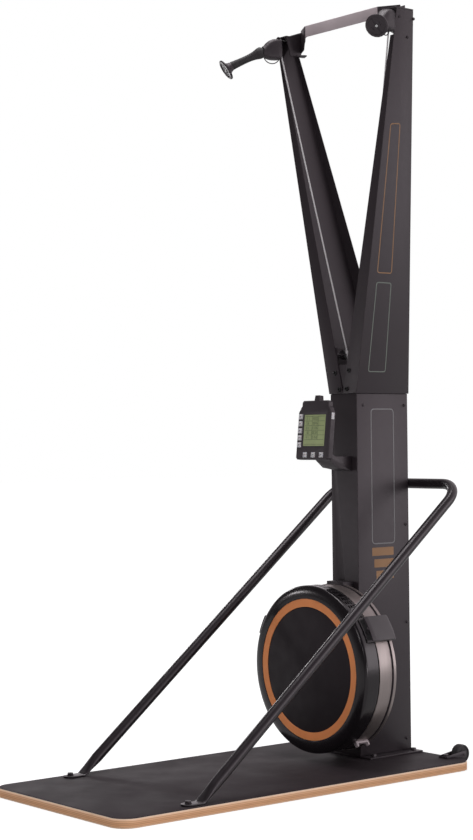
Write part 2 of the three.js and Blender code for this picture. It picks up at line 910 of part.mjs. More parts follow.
// The flared end is set a little downward and inward from the line of the grip.
function discFrame(sign, handle) {
  const disc = new THREE.Group();
  disc.position.set(0, grip_length, 0).applyMatrix4(handle.matrix);
  disc.rotation.set(-dipAngle(sign) - disc_tilt_angle, 0, sign * disc_turn_angle, 'ZYX');
  disc.updateMatrix();
  return disc;
}

// The hood: its rear stands flat against the arm's front and its nose is square to the handle.
function housingBody(sign, handle) {
  const reach = housing_reach;
  const hood_top = housing_top_rise;
  const drop = housing_bottom_drop;
  const w = housing_wall;
  const profile = new THREE.Shape();
  profile.moveTo(0, -drop);
  profile.lineTo(0, hood_top);
  profile.lineTo(reach * housing_flat_share, hood_top);
  profile.quadraticCurveTo(reach * 0.85, hood_top, reach + nose_radius, neck_z + nose_radius);
  profile.lineTo(reach + nose_radius, neck_z - nose_radius);
  profile.lineTo(reach - nose_radius, neck_z - nose_radius);
  profile.quadraticCurveTo(reach * 0.6, -drop, reach * housing_flat_share, -drop);
  const well = outline([
    [-cut_over, -drop - cut_over], [-cut_over, hood_top - w],
    [reach * housing_flat_share, hood_top - w],
    [pulley_centre * 2 + cut_over, hood_top * housing_well_share],
    [pulley_centre * 2 + cut_over, -drop - cut_over],
  ]);
  const half = housing_half_width;
  const rear_turn = -headTurn(sign);
  const rear_cut = box(-reach * 2, reach * 2, 0, reach * 2, -reach, reach).rotateZ(rear_turn);
  const step = v3(0, arm_top_front - seat_gap - rope_top_y, 0).applyAxisAngle(v3(0, 0, 1), rear_turn);
  rear_cut.translate(step.x, step.y, step.z);
  const front_cut = box(-reach, reach, 0, reach, -reach, reach).applyMatrix4(handle.matrix);
  const leave = ropeLeave();
  const tunnel = rod(leave, neckPoint().multiplyScalar(2).sub(leave), rope_radius * 2, rope_sides * 2);
  const taper = [-1, 1].map((side) => alongZ(outline([
    [side * nose_radius, reach * 1.5], [side * nose_radius, reach],
    [side * half, reach * housing_flat_share],
    [side * half * 2, reach * housing_flat_share], [side * half * 2, reach * 1.5],
  ]), -reach, reach));
  const shell = cut(alongX(profile, -half, half), alongX(well, -half + w, half - w), tunnel, ...taper);
  const pin = rod(
    v3(-half + w / 2, pulley_centre, 0), v3(half - w / 2, pulley_centre, 0), pin_radius, pin_sides);
  const tie_z = -pulley_rim_radius - run_gap - housing_tie_radius;
  const tie = rod(
    v3(-half + w / 2, pulley_centre, tie_z), v3(half - w / 2, pulley_centre, tie_z), housing_tie_radius,
    rope_sides);
  const keeper_z = -drop - keeper_drop;
  const keeper_line = [
    v3(0, pulley_centre, tie_z), v3(0, pulley_centre + keeper_drop, keeper_z),
    v3(0, reach * 0.75, keeper_z), v3(0, reach * 0.85, neck_z - nose_radius + keeper_radius),
  ];
  const keeper = tube(roundedRoute(keeper_line, keeper_drop / 2), keeper_radius, rope_sides);
  return joined(cut(shell, rear_cut, front_cut), pin, tie, keeper);
}

function hoodBolt(frame) {
  frame.updateMatrixWorld(true);
  const place = frame.worldToLocal(
    v3(arm_top_outer - hood_bolt_inset, arm_top_front - hood_bolt_forward, pulley_height));
  return hexHead(place.x, place.y, housing_top_rise);
}

function makePulleyHeads() {
  for (const { name, sign } of sides) {
    const frame = headFrame(sign);
    assembly.add(frame);
    const handle = handleFrame(sign);
    frame.add(handle);
    const body = housingBody(sign, handle);
    add(`${name}_pulley_housing`, sign > 0 ? joined(body, hoodBolt(frame)) : body, black_plastic, frame);

    const pulley = grooved(pulley_groove_radius, pulley_rim_radius, pulley_width, pin_radius + run_gap);
    pulley.rotateZ(-Math.PI / 2);
    pulley.translate(0, pulley_centre, 0);
    add(`${name}_top_pulley`, pulley, bright_steel, frame);

    const start = seat_gap;
    const length = grip_length;
    const grip = turned([
      [0, start], [head_end_radius * 0.85, start], [head_end_radius, start + length * 0.03],
      [head_end_radius, start + length * 0.13], [grip_radius * 1.15, start + length * 0.3],
      [grip_radius, start + length * 0.6], [grip_end_radius, length], [grip_end_radius, length + cut_over],
      [0, length + cut_over],
    ], pulley_sides);
    const disc_group = discFrame(sign, handle);
    frame.add(disc_group);
    const beyond = box(-length, length, -seat_gap, length, -length, length);
    beyond.applyMatrix4(disc_group.matrix).applyMatrix4(handle.matrix.clone().invert());
    add(`${name}_grip`, cut(grip, beyond), rubber_black, handle);

    const face = flare_depth;
    const rim = face - disc_thickness;
    const disc = turned([
      [0, 0], [grip_end_radius, 0], [grip_end_radius * 1.15, face * 0.3], [disc_radius * 0.6, face * 0.6],
      [disc_radius, rim], [disc_radius, face - disc_recess], [disc_radius * 0.92, face],
      [disc_radius * 0.78, face], [disc_radius * 0.74, face - disc_recess], [0, face - disc_recess],
    ], disc_sides);
    const groove = box(
      -disc_slot_width / 2, disc_slot_width / 2, face - disc_recess * 2, face + cut_over,
      -disc_radius * 0.68, disc_radius * 0.68);
    const slots = [-1, 1].map((side) => box(
      side * disc_radius * 0.4 - disc_slot_width / 2, side * disc_radius * 0.4 + disc_slot_width / 2,
      face - disc_recess * 2, face + cut_over, -disc_slot_length / 2, disc_slot_length / 2));
    const marks = [groove, ...slots].map((mark) => mark.rotateY(sign * disc_groove_angle));
    add(`${name}_end_disc`, cut(disc, ...marks), black_plastic, disc_group);
  }
}

// Ropes, idlers, drums and their recoil cases. Both ropes leave their drums on the same side, so that
// both drums drive the axle the same way round.

function makeRopes() {
  for (const { name, sign } of sides) {
    const y = drumY(name);
    const frame = headFrame(sign);
    frame.updateMatrixWorld(true);
    const at = (along, up) => frame.localToWorld(v3(0, along, up));
    const stations = [v3(drum_rope_x, y, axis_height), v3(sign * drum_rope_x, y, idler_height)];
    const run = new THREE.Vector3().subVectors(
      v3(sign * rope_top_x, 0, pulley_height), v3(sign * drum_rope_x, 0, idler_height)).normalize();
    const lean = Math.atan2(sign * run.x, run.z);
    const bend = idler_groove_radius + run_gap + rope_radius;
    for (const share of [0.5, 1]) {
      stations.push(v3(
        sign * (idler_x - bend * Math.cos(lean * share)), y, idler_height + bend * Math.sin(lean * share)));
    }
    const steps = bend_arc_steps * 1.5;
    for (let k = 0; k <= steps; k += 1) {
      const a = ropeWrap() * k / steps;
      stations.push(at(pulley_centre - pulley_centre * Math.cos(a), pulley_centre * Math.sin(a)));
    }
    stations.push(at(neckPoint().y, neck_z));
    add(`${name}_rope`, tube(stations, rope_radius, rope_sides), rope_white);

    const idler = grooved(idler_groove_radius, idler_rim_radius, idler_width, pin_radius + run_gap);
    idler.translate(sign * idler_x, y, idler_height);
    add(`${name}_idler`, idler, bright_steel);

    const half = drum_width / 2;
    const barrel = drum_rope_x - rope_radius - run_gap;
    const bore = axle_radius + run_gap;
    const drum = turned([
      [bore, -half], [drum_flange_radius, -half], [drum_flange_radius, -half + drum_flange],
      [barrel, -half + drum_flange], [barrel, half - drum_flange], [drum_flange_radius, half - drum_flange],
      [drum_flange_radius, half], [bore, half], [bore, -half],
    ], pulley_sides);
    add(`${name}_drum`, drum.translate(0, y, axis_height), bright_steel);

    const case_front = name === 'left'
      ? y - half - seat_gap - recoil_width
      : y + half + seat_gap;
    const wall_x = column_half - column_wall - seat_gap;
    const tab = box(
      Math.min(0, sign * wall_x), Math.max(0, sign * wall_x), case_front, case_front + recoil_width,
      axis_height - recoil_tab / 2, axis_height + recoil_tab / 2);
    const can = ring(0, recoil_radius, case_front, case_front + recoil_width, pulley_sides);
    const bore_cut = rod(
      v3(0, case_front - cut_over, axis_height), v3(0, case_front + recoil_width + cut_over, axis_height),
      bore, pin_sides);
    add(`${name}_recoil_case`, cut(joined(can.translate(0, 0, axis_height), tab), bore_cut), black_plastic);
  }
}

// Stay tube with flattened feet, and the saddle that clamps it to the column's back

function makeStay() {
  const stretch_y = column_back + stay_standoff + stay_radius;
  const stretch_z = stay_foot_z + stay_slope * (stretch_y - stay_foot_y);
  const corner = (x, y, z) => v3(x, y, z);
  const line = [
    corner(-stay_half_width, stay_foot_y, stay_foot_z), corner(-stay_top_half_width, stretch_y, stretch_z),
    corner(stay_top_half_width, stretch_y, stretch_z), corner(stay_half_width, stay_foot_y, stay_foot_z),
  ];
  const feet = sides.map(({ sign }) => makeStayFoot(sign * stay_half_width));
  const body = tube(roundedRoute(line, stay_bend_radius), stay_radius, tube_sides);
  add('stay_tube', joined(body, ...feet), black_steel);

  const wrap = stay_radius + run_gap;
  const outer = wrap + saddle_wall;
  const seat = column_back + seat_gap;
  const profile = new THREE.Shape();
  profile.moveTo(seat, stretch_z + outer + saddle_flange);
  profile.lineTo(seat, stretch_z + wrap);
  profile.lineTo(stretch_y, stretch_z + wrap);
  profile.absarc(stretch_y, stretch_z, wrap, Math.PI / 2, -Math.PI / 2, true);
  profile.lineTo(seat, stretch_z - wrap);
  profile.lineTo(seat, stretch_z - outer - saddle_flange);
  profile.lineTo(seat + saddle_wall, stretch_z - outer - saddle_flange);
  profile.lineTo(seat + saddle_wall, stretch_z - outer);
  profile.lineTo(stretch_y, stretch_z - outer);
  profile.absarc(stretch_y, stretch_z, outer, -Math.PI / 2, Math.PI / 2, false);
  profile.lineTo(seat + saddle_wall, stretch_z + outer);
  profile.lineTo(seat + saddle_wall, stretch_z + outer + saddle_flange);
  add('stay_saddle', alongX(profile, -saddle_half_width, saddle_half_width), black_steel);
}

function makeStayFoot(x) {
  const leg = v3(0, 1, stay_slope).normalize();
  const up = v3(0, -leg.z, leg.y);
  const across = v3(1, 0, 0);
  const start = v3(x, stay_foot_y, stay_foot_z).addScaledVector(leg, cut_over);
  const flat_z = deck_top + seat_gap + stay_flat_thickness / 2;
  const flat_y = stay_foot_y - (stay_foot_z - flat_z) / stay_slope;
  const rings = [
    ellipse(start, across, up, stay_radius, stay_radius, tube_sides),
    ellipse(v3(x, stay_foot_y, stay_foot_z), across, up, stay_radius, stay_radius, tube_sides),
    ellipse(
      v3(x, (stay_foot_y + flat_y) / 2, (stay_foot_z + flat_z) / 2), across, up,
      (stay_radius + stay_flat_width / 2) / 2, stay_radius * 0.6, tube_sides),
    ellipse(
      v3(x, flat_y, flat_z), across, v3(0, 0, 1), stay_flat_width / 2, stay_flat_thickness / 2, tube_sides),
    ellipse(
      v3(x, flat_y - stay_neck_length / 4, flat_z), across, v3(0, 0, 1),
      stay_flat_width / 2, stay_flat_thickness / 2, tube_sides),
  ];
  const plate = new THREE.Shape();
  const end = flat_y - stay_flat_length;
  const half = stay_flat_width / 2;
  plate.moveTo(x - half, flat_y);
  plate.lineTo(x - half, end + half);
  plate.absarc(x, end + half, half, Math.PI, Math.PI * 2, false);
  plate.lineTo(x + half, flat_y);
  const low = deck_top + seat_gap;
  return joined(
    lofted(rings), alongZ(plate, low, low + stay_flat_thickness),
    hexHead(x, end + half, low + stay_flat_thickness));
}

// Flywheel housing

const band_outer_radius = shell_radius - band_drop;
const band_inner_radius = band_outer_radius - band_thickness;

function makeHousing() {
  const wheel = new THREE.Group();
  wheel.position.z = axis_height;
  assembly.add(wheel);
  const skin = (inset, steps) => {
    const arc = [];
    const r0 = rim_lip_radius;
    const r1 = shell_radius - inset;
    const y0 = rim_front_y + inset;
    for (let k = 0; k <= steps; k += 1) {
      const a = Math.PI / 2 * k / steps;
      arc.push([r0 + (r1 - r0) * Math.sin(a), shoulder_y - (shoulder_y - y0) * Math.cos(a)]);
    }
    return arc;
  };
  const inner_face = face_y + shell_wall;
  const cover = turned([
    [0, face_y], [rim_inner_radius, face_y], [rim_inner_radius, rim_front_y],
    ...skin(0, bend_arc_steps - 1), [shell_radius, front_cover_back_y],
    [shell_radius - shell_wall, front_cover_back_y],
    ...skin(shell_wall * 1.3, bend_arc_steps / 2).reverse().filter(([, y]) => y > inner_face),
    [rim_lip_radius, inner_face], [0, inner_face],
  ], wheel_sides);
  const up = Math.PI / 2;
  const window_y0 = vent_front_y;
  const window_y1 = front_cover_back_y - vent_margin * 2;
  const window_tool = sector(
    shell_radius - shell_wall * 2, shell_radius + cut_over, up - vent_half_angle, up + vent_half_angle,
    window_y0, window_y1, vent_columns / 2);
  const boss = sector(
    shell_radius - shell_wall, boss_radius, boss_start, boss_end, boss_front_y, boss_back_y,
    bend_arc_steps / 2);
  add('front_cover', cut(joined(cover, boss), window_tool), gloss_black, wheel);
  add('accent_ring', ring(
    accent_inner_radius, accent_outer_radius, face_y - seat_gap - accent_thickness, face_y - seat_gap,
    wheel_sides), accent_orange, wheel);
  const panel_radius = accent_inner_radius - seat_gap;
  add('centre_panel', turned([
    [0, face_y - seat_gap - panel_thickness], [panel_radius, face_y - seat_gap - panel_thickness],
    [panel_radius, face_y - seat_gap], [0, face_y - seat_gap],
  ], wheel_sides), black_plastic, wheel);
  add('vent_grille', ventGrille(window_y0 + seat_gap, window_y1 - seat_gap), black_plastic, wheel);

  const hub_back = column_front - seat_gap;
  const land = band_inner_radius - seat_gap;
  const spigot = shell_radius - shell_wall - run_gap;
  const rim_back = rear_rim_y + rear_rim_width;
  const w = shell_wall;
  const body = turned([
    [spigot, spigot_front_y], [spigot, front_cover_back_y - w], [groove_radius, front_cover_back_y],
    [groove_radius, band_front_y - seat_gap], [land, band_front_y - seat_gap],
    [land, rear_rim_y - seat_gap], [groove_radius, rear_rim_y],
    [shell_radius, rear_rim_y], [shell_radius, rim_back],
    [rear_dish_radius, rim_back + rear_dish_depth], [rear_hub_radius, rear_face_y],
    [rear_hub_radius, hub_back], [rear_hub_bore, hub_back], [rear_hub_bore, rear_face_y - w],
    [rear_dish_radius, rim_back + rear_dish_depth - w], [groove_radius - w, rear_rim_y],
    [groove_radius - w, spigot_front_y], [spigot, spigot_front_y],
  ], wheel_sides);
  const slot = sector(
    groove_radius - w * 3, shell_radius, lever_angle - slot_down_angle - lever_link_half_angle,
    lever_angle + slot_up_angle + lever_link_half_angle,
    band_front_y - seat_gap - lever_link - run_gap, band_front_y - seat_gap, bend_arc_steps * 2);
  const intakes = [];
  for (let k = 0; k < intake_count; k += 1) {
    const intake = box(
      intake_inner_radius, intake_outer_radius, rear_face_y - cut_over * 3, rear_face_y + cut_over * 3,
      -intake_width / 2, intake_width / 2);
    intakes.push(intake.rotateY((k + 0.5) / intake_count * Math.PI * 2));
  }
  const lug = box(
    -rear_lug_half_width, rear_lug_half_width, rear_rim_y, hub_back, rear_lug_inner_radius,
    rear_lug_outer_radius);
  add('rear_cover', cut(joined(body, lug), slot, ...intakes), black_plastic, wheel);

  const band_start = -Math.PI / 2 + band_open_angle;
  const band_end = Math.PI * 1.5 - band_open_angle;
  add('brushed_band', sector(
    band_inner_radius, band_outer_radius, band_start, band_end, band_front_y, band_front_y + band_width,
    wheel_sides), brushed, wheel);
  for (const { name, sign } of sides) {
    const angle = sign > 0 ? band_start : band_end;
    add(`${name}_band_foot`, bandFoot(angle, sign), grey_paint, wheel);
  }
}

// The strap's end lug: a bar across the strap with an ear at each end, just past the strap's end.
function bandFoot(angle, sign) {
  const turn = sign * (seat_gap + foot_lug_width / 2) / band_outer_radius;
  const half = foot_lug_width / 2;
  const low = band_inner_radius;
  const front = band_front_y - run_gap;
  const back = band_front_y + band_width + run_gap;
  const bar = box(low, low + foot_lug_height, front, back, -half, half);
  const ears = [front, back - half].map((y) => box(
    low, low + foot_lug_height + foot_lug_ear, y, y + half, -half, half));
  const foot = joined(bar, ...ears);
  const geometry = toGeometry(foot);
  geometry.rotateY(-(angle - turn));
  return geometry;
}

// A curved strip of square holes, built cell by cell round the Y axis.
function ventGrille(y0, y1) {
  const outer = shell_radius - seat_gap;
  const inner = shell_radius - shell_wall + seat_gap;
  const edge = seat_gap / shell_radius;
  const from = Math.PI / 2 - vent_half_angle + edge;
  const step_a = (vent_half_angle * 2 - edge * 2) / vent_columns;
  const step_y = (y1 - y0) / vent_rows;
  const hole = vent_hole_share / 2;
  const positions = [];
  const put = (r, u, v) => {
    const a = from + step_a * u;
    positions.push(r * Math.cos(a), y0 + step_y * v, r * Math.sin(a));
  };
  const quad = (corners) => {
    for (const k of [0, 1, 2, 0, 2, 3]) put(...corners[k]);
  };
  const corner_signs = [[-1, -1], [1, -1], [1, 1], [-1, 1]];
  for (let i = 0; i < vent_columns; i += 1) {
    for (let j = 0; j < vent_rows; j += 1) {
      for (let k = 0; k < 4; k += 1) {
        const [au, av] = corner_signs[k];
        const [bu, bv] = corner_signs[(k + 1) % 4];
        const edge_a = [i + 0.5 + au / 2, j + 0.5 + av / 2];
        const edge_b = [i + 0.5 + bu / 2, j + 0.5 + bv / 2];
        const hole_a = [i + 0.5 + au * hole, j + 0.5 + av * hole];
        const hole_b = [i + 0.5 + bu * hole, j + 0.5 + bv * hole];
        quad([[outer, ...edge_a], [outer, ...edge_b], [outer, ...hole_b], [outer, ...hole_a]]);
        quad([[inner, ...hole_a], [inner, ...hole_b], [inner, ...edge_b], [inner, ...edge_a]]);
        quad([[outer, ...hole_a], [outer, ...hole_b], [inner, ...hole_b], [inner, ...hole_a]]);
        const on_edge = (k === 0 && j === 0) || (k === 2 && j === vent_rows - 1)
          || (k === 1 && i === vent_columns - 1) || (k === 3 && i === 0);
        if (on_edge) quad([[outer, ...edge_b], [outer, ...edge_a], [inner, ...edge_a], [inner, ...edge_b]]);
      }
    }
  }
  const geometry = new THREE.BufferGeometry();
  geometry.setAttribute('position', new THREE.Float32BufferAttribute(positions, 3));
  return geometry;
}

// Fan, axle, bearings and the bridge inside the column

function makeFan() {
  const wheel = new THREE.Group();
  wheel.position.z = axis_height;
  assembly.add(wheel);
  const bore = axle_radius + seat_gap / 2;
  const plate_back = fan_plate_y + fan_plate;
  const hub = ring(bore, fan_hub_radius, axle_front_y + cut_over, plate_back, pin_sides);
  const sides_round = fan_blade_count * 2;
  const plate = ring(fan_hub_radius - fan_plate, fan_radius, fan_plate_y, plate_back, sides_round);
  const front_ring = ring(
    fan_radius - fan_ring_width, fan_radius, fan_blade_front_y - fan_ring_depth / 2,
    fan_blade_front_y + fan_ring_depth / 2, sides_round);
  const blades = [];
  for (let k = 0; k < fan_blade_count; k += 1) {
    const reach = fan_radius - fan_blade_root - fan_ring_width / 4;
    const blade = box(
      0, reach, fan_blade_front_y, fan_plate_y + fan_plate / 2, -fan_blade_thickness / 2,
      fan_blade_thickness / 2);
    blade.translate(-reach, 0, 0);
    blade.rotateY(fan_blade_lean);
    blade.translate(fan_radius - fan_ring_width / 2, 0, 0);
    blades.push(blade.rotateY(k / fan_blade_count * Math.PI * 2));
  }
  const rotor = joined(hub, plate, front_ring, ...blades);
  const limit = ring(bore, fan_radius, 0, axle_back_y, sides_round);
  add('flywheel_fan', common(rotor, limit), brushed, wheel);
  add('flywheel_axle', rod(v3(0, axle_front_y, 0), v3(0, axle_back_y, 0), axle_radius, pin_sides),
    bright_steel, wheel);

  const run = axle_radius + run_gap;
  const seat = column_front + column_wall + seat_gap;
  add('front_bearing', turned([
    [run, column_front + seat_gap], [bearing_boss_radius, column_front + seat_gap],
    [bearing_boss_radius, seat], [bearing_flange_radius, seat],
    [bearing_flange_radius, seat + bearing_flange], [bearing_boss_radius, seat + bearing_flange],
    [bearing_boss_radius, seat + front_bearing_length], [run, seat + front_bearing_length],
    [run, column_front + seat_gap],
  ], pulley_sides), bright_steel, wheel);
  const flange_back = bridge_y - seat_gap;
  add('rear_bearing', turned([
    [run, rear_bearing_y], [bearing_boss_radius, rear_bearing_y],
    [bearing_boss_radius, flange_back - bearing_flange],
    [bearing_flange_radius, flange_back - bearing_flange],
    [bearing_flange_radius, flange_back], [bearing_boss_radius, flange_back],
    [bearing_boss_radius, bridge_y + bridge_plate], [run, bridge_y + bridge_plate], [run, rear_bearing_y],
  ], pulley_sides), bright_steel, wheel);
  const half = column_half - column_wall - seat_gap;
  const web_back = bridge_y + bridge_plate;
  const front = web_back - bridge_flange;
  const channel = outline([
    [-half, front], [-half + bridge_plate, front], [-half + bridge_plate, bridge_y],
    [half - bridge_plate, bridge_y], [half - bridge_plate, front], [half, front],
    [half, web_back], [-half, web_back],
  ]);
  const hole = rod(
    v3(0, bridge_y - cut_over, 0), v3(0, web_back + cut_over, 0), bearing_boss_radius + run_gap,
    disc_sides);
  const bridge = alongZ(channel, -bridge_height / 2, bridge_height / 2);
  add('bearing_bridge', cut(bridge, hole), black_steel, wheel);
}

// Resistance lever with its front knob and the magnets that it carries round the rotor

function makeLever() {
  const wheel = new THREE.Group();
  wheel.position.z = axis_height;
  assembly.add(wheel);
  const low = shell_radius + run_gap;
  const high = low + lever_thickness;
  const a0 = lever_angle - lever_half_angle;
  const a1 = lever_angle + lever_half_angle;
  const rim_back = rear_rim_y + rear_rim_width;
  const block = sector(low, high, a0, a1, lever_front_y, lever_back_y, bend_arc_steps / 2);
  const hook = sector(
    low - lever_hook, low + run_gap, a0, a1, rim_back + lever_hook_gap, lever_back_y,
    bend_arc_steps / 2);
  add('resistance_lever', joined(block, hook), grey_paint, wheel);

  const link_back = band_front_y - seat_gap - run_gap / 2;
  const link = sector(
    magnet_outer_radius - cut_over, low - run_gap / 2, lever_angle - lever_link_half_angle,
    lever_angle + lever_link_half_angle, link_back - lever_link, link_back, bend_arc_steps / 4);
  const knob = sector(low, high, a0, a1, knob_front_y, lever_front_y - seat_gap, bend_arc_steps / 2);
  const middle = low + lever_thickness / 2;
  const button = rod(
    v3(middle * Math.cos(lever_angle), knob_front_y - knob_button_height, middle * Math.sin(lever_angle)),
    v3(middle * Math.cos(lever_angle), knob_front_y + cut_over, middle * Math.sin(lever_angle)),
    knob_button_radius, pin_sides);
  const magnets = sector(
    magnet_inner_radius, magnet_outer_radius, a0, a1, link_back - lever_link,
    link_back - lever_link + magnet_depth, bend_arc_steps / 2);
  add('lever_knob', joined(knob, button), black_plastic, wheel);
  add('magnet_carrier', joined(magnets, link), bright_steel, wheel);
}

// Console with its screen, buttons and bracket

function makeConsole() {
  const head = new THREE.Group();
  head.position.set(0, console_y, console_z);
  head.rotation.x = -console_tilt;
  assembly.add(head);
  const half = console_width / 2;
  const top_half = console_top_width / 2;
  const top = console_height / 2;
  const c = console_corner;
  const tab_half = console_tab_width / 2;
  const tab_x = console_tab_shift;
  const shoulder = top - console_shoulder;
  const face = outline([
    [-half + c, -top], [half - c, -top], [half, -top + c], [half, shoulder],
    [half - c * 1.5, shoulder + c * 2], [top_half + c, shoulder + c * 2.6], [top_half, shoulder + c * 3.6],
    [top_half, top - c], [top_half - c, top],
    [tab_x + tab_half, top], [tab_x + tab_half * 0.8, top + console_tab_height],
    [tab_x - tab_half * 0.8, top + console_tab_height], [tab_x - tab_half, top],
    [-top_half + c, top], [-top_half, top - c],
    [-top_half, shoulder + c * 3.6], [-top_half - c, shoulder + c * 2.6],
    [-half + c * 1.5, shoulder + c * 2], [-half, shoulder], [-half, -top + c],
  ]);
  const front_y = -console_depth / 2;
  const back_y = console_depth / 2;
  const bevel = console_corner / 2;
  const case_body = new THREE.ExtrudeGeometry(face, {
    depth: console_depth - bevel * 2, bevelEnabled: true, bevelThickness: bevel, bevelSize: bevel,
    bevelOffset: -bevel, bevelSegments: 1, curveSegments: 1,
  }).rotateX(Math.PI / 2).translate(0, back_y - bevel, 0);
  const screen_half = screen_size / 2;
  const screen_hole = box(
    screen_shift - screen_half, screen_shift + screen_half, front_y - cut_over, front_y + screen_recess,
    screen_rise - screen_half, screen_rise + screen_half);
  const places = [];
  for (let k = 0; k < side_button_count; k += 1) {
    places.push([`side_button_${k + 1}`, side_button_x, side_button_top - side_button_pitch * k]);
  }
  for (let k = 0; k < low_button_count; k += 1) {
    places.push([`low_button_${k + 1}`, low_button_x + low_button_pitch * k, low_button_z]);
  }
  const pad = (x, z, grow, y0, y1) => box(
    x - button_width / 2 - grow, x + button_width / 2 + grow, y0, y1,
    z - button_height / 2 - grow, z + button_height / 2 + grow);
  const button_back = front_y - button_proud + button_depth;
  const pocket_back = button_back + button_travel + button_spare;
  const pockets = places.map(([, x, z]) => pad(x, z, seat_gap, front_y - cut_over, pocket_back));
  const pivot = new THREE.Vector3(0, console_pivot_y - console_y, console_pivot_z - console_z)
    .applyAxisAngle(v3(1, 0, 0), console_tilt);
  const barrel = rod(
    v3(-console_lug_half, pivot.y, pivot.z), v3(console_lug_half, pivot.y, pivot.z), console_lug_radius,
    pin_sides);
  const web = box(
    -console_lug_half, console_lug_half, back_y - bevel * 2, pivot.y, pivot.z - console_lug_radius,
    pivot.z + console_lug_radius);
  const bore = rod(
    v3(-console_lug_half - cut_over, pivot.y, pivot.z), v3(console_lug_half + cut_over, pivot.y, pivot.z),
    pin_radius + run_gap, pin_sides);
  const shell = cut(joined(case_body, web, barrel), screen_hole, ...pockets, bore);
  add('console_case', shell, black_plastic, head);
  const screen_gap = seat_gap;
  add('console_screen', box(
    screen_shift - screen_half + screen_gap, screen_shift + screen_half - screen_gap,
    front_y + screen_gap, front_y + screen_recess - screen_gap,
    screen_rise - screen_half + screen_gap, screen_rise + screen_half - screen_gap), screen_green, head);
  for (const [name, x, z] of places) {
    add(name, pad(x, z, 0, front_y - button_proud, button_back), button_white, head);
  }
  makeConsoleBracket();
}

function makeConsoleBracket() {
  const seat = column_front - seat_gap;
  const nose = bracket_nose_radius;
  const cheek = new THREE.Shape();
  cheek.moveTo(seat, bracket_bottom_z);
  cheek.lineTo(seat, bracket_top_z);
  cheek.lineTo(console_pivot_y + nose * 2, bracket_top_z);
  cheek.absarc(console_pivot_y, console_pivot_z, nose, 0, bracket_nose_end, false);
  cheek.lineTo(bracket_chin_y, bracket_chin_z);
  const cheeks = [-1, 1].map((sign) => alongX(
    cheek, sign > 0 ? bracket_half - bracket_plate : -bracket_half,
    sign > 0 ? bracket_half : -bracket_half + bracket_plate));
  const back = box(
    -bracket_half, bracket_half, seat - bracket_plate, seat, bracket_bottom_z, bracket_top_z);
  const nose_y = console_pivot_y + nose * Math.cos(bracket_nose_end);
  const nose_z = console_pivot_z + nose * Math.sin(bracket_nose_end);
  const lip_y = nose_y + (bracket_chin_y - nose_y) * bracket_lip_share;
  const lip_z = nose_z + (bracket_chin_z - nose_z) * bracket_lip_share;
  const floor = alongX(outline([
    [seat, bracket_bottom_z], [seat, bracket_bottom_z + bracket_plate],
    [bracket_chin_y, bracket_chin_z + bracket_plate], [lip_y, lip_z + bracket_plate], [lip_y, lip_z],
    [bracket_chin_y, bracket_chin_z],
  ]), -bracket_half, bracket_half);
  const pin = rod(
    v3(-bracket_half - bracket_plate, console_pivot_y, console_pivot_z),
    v3(bracket_half + bracket_plate, console_pivot_y, console_pivot_z), pin_radius, pin_sides);
  add('console_bracket', joined(...cheeks, back, floor, pin), black_steel);
}

// Transport wheels

function makeWheels() {
  for (const { name, sign } of sides) {
    const x = sign * wheel_x;
    const half = wheel_width / 2;
    const bore = pin_radius + run_gap;
    const tread = wheel_radius - wheel_groove;
    const wheel = turned([
      [bore, -half], [wheel_hub_radius, -half], [tread - wheel_groove * 2, -half + wheel_groove],
      [tread, -half], [wheel_radius, -half + wheel_groove * 2], [wheel_radius, half - wheel_groove * 2],
      [tread, half], [tread - wheel_groove * 2, half - wheel_groove], [wheel_hub_radius, half],
      [bore, half], [bore, -half],
    ], pulley_sides);
    wheel.rotateZ(-Math.PI / 2);
    wheel.translate(x, wheel_y, wheel_z);
    add(`${name}_transport_wheel`, wheel, rubber_black);

    const inner = half + run_gap;
    const outer = inner + wheel_plate;
    const edge = deck_end;
    const low = deck_top + seat_gap;
    const foot_front = edge - wheel_foot_length;
    const m = wheel_cheek_margin;
    const cheek = outline([
      [foot_front, low], [edge, low], [wheel_y - m, wheel_z - m], [wheel_y + m, wheel_z - m],
      [wheel_y + m, wheel_z + m], [wheel_y - m, wheel_z + m], [foot_front, low + wheel_plate * 2],
    ]);
    const cheeks = [-outer, inner].map((start) => alongX(cheek, x + start, x + start + wheel_plate));
    const foot = box(
      x - outer + wheel_plate / 2, x + outer - wheel_plate / 2, foot_front + wheel_plate, edge - wheel_plate,
      low, low + wheel_plate);
    const pin_end = outer + wheel_plate / 2;
    const pin = rod(
      v3(x - pin_end, wheel_y, wheel_z), v3(x + pin_end, wheel_y, wheel_z), pin_radius, pin_sides);
    const bolt = hexHead(x - sign * wheel_plate, foot_front + hex_across, low + wheel_plate);
    add(`${name}_wheel_bracket`, joined(foot, ...cheeks, pin, bolt), black_steel);
  }
}

makePlatform();
makeColumn();
makeArms();
makeLiner();
makeHeads();
makePulleyHeads();
makeRopes();
makeStay();
makeHousing();
makeFan();
makeLever();
makeConsole();
makeWheels();

export default assembly;
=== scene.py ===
# %% [markdown]
# # A standing ski-pull trainer
# The steel frame, the covers and the mechanism are already packed as a rigid model. This lesson loads that
# model and dresses it: folded steel gets its rounded bends, turned covers get a fine curve, and each
# surface gets a finish whose grain has the size that the real one has.

# %% Load the packed model
import json
import math

import bmesh
import bpy
from mathutils import Matrix, Vector


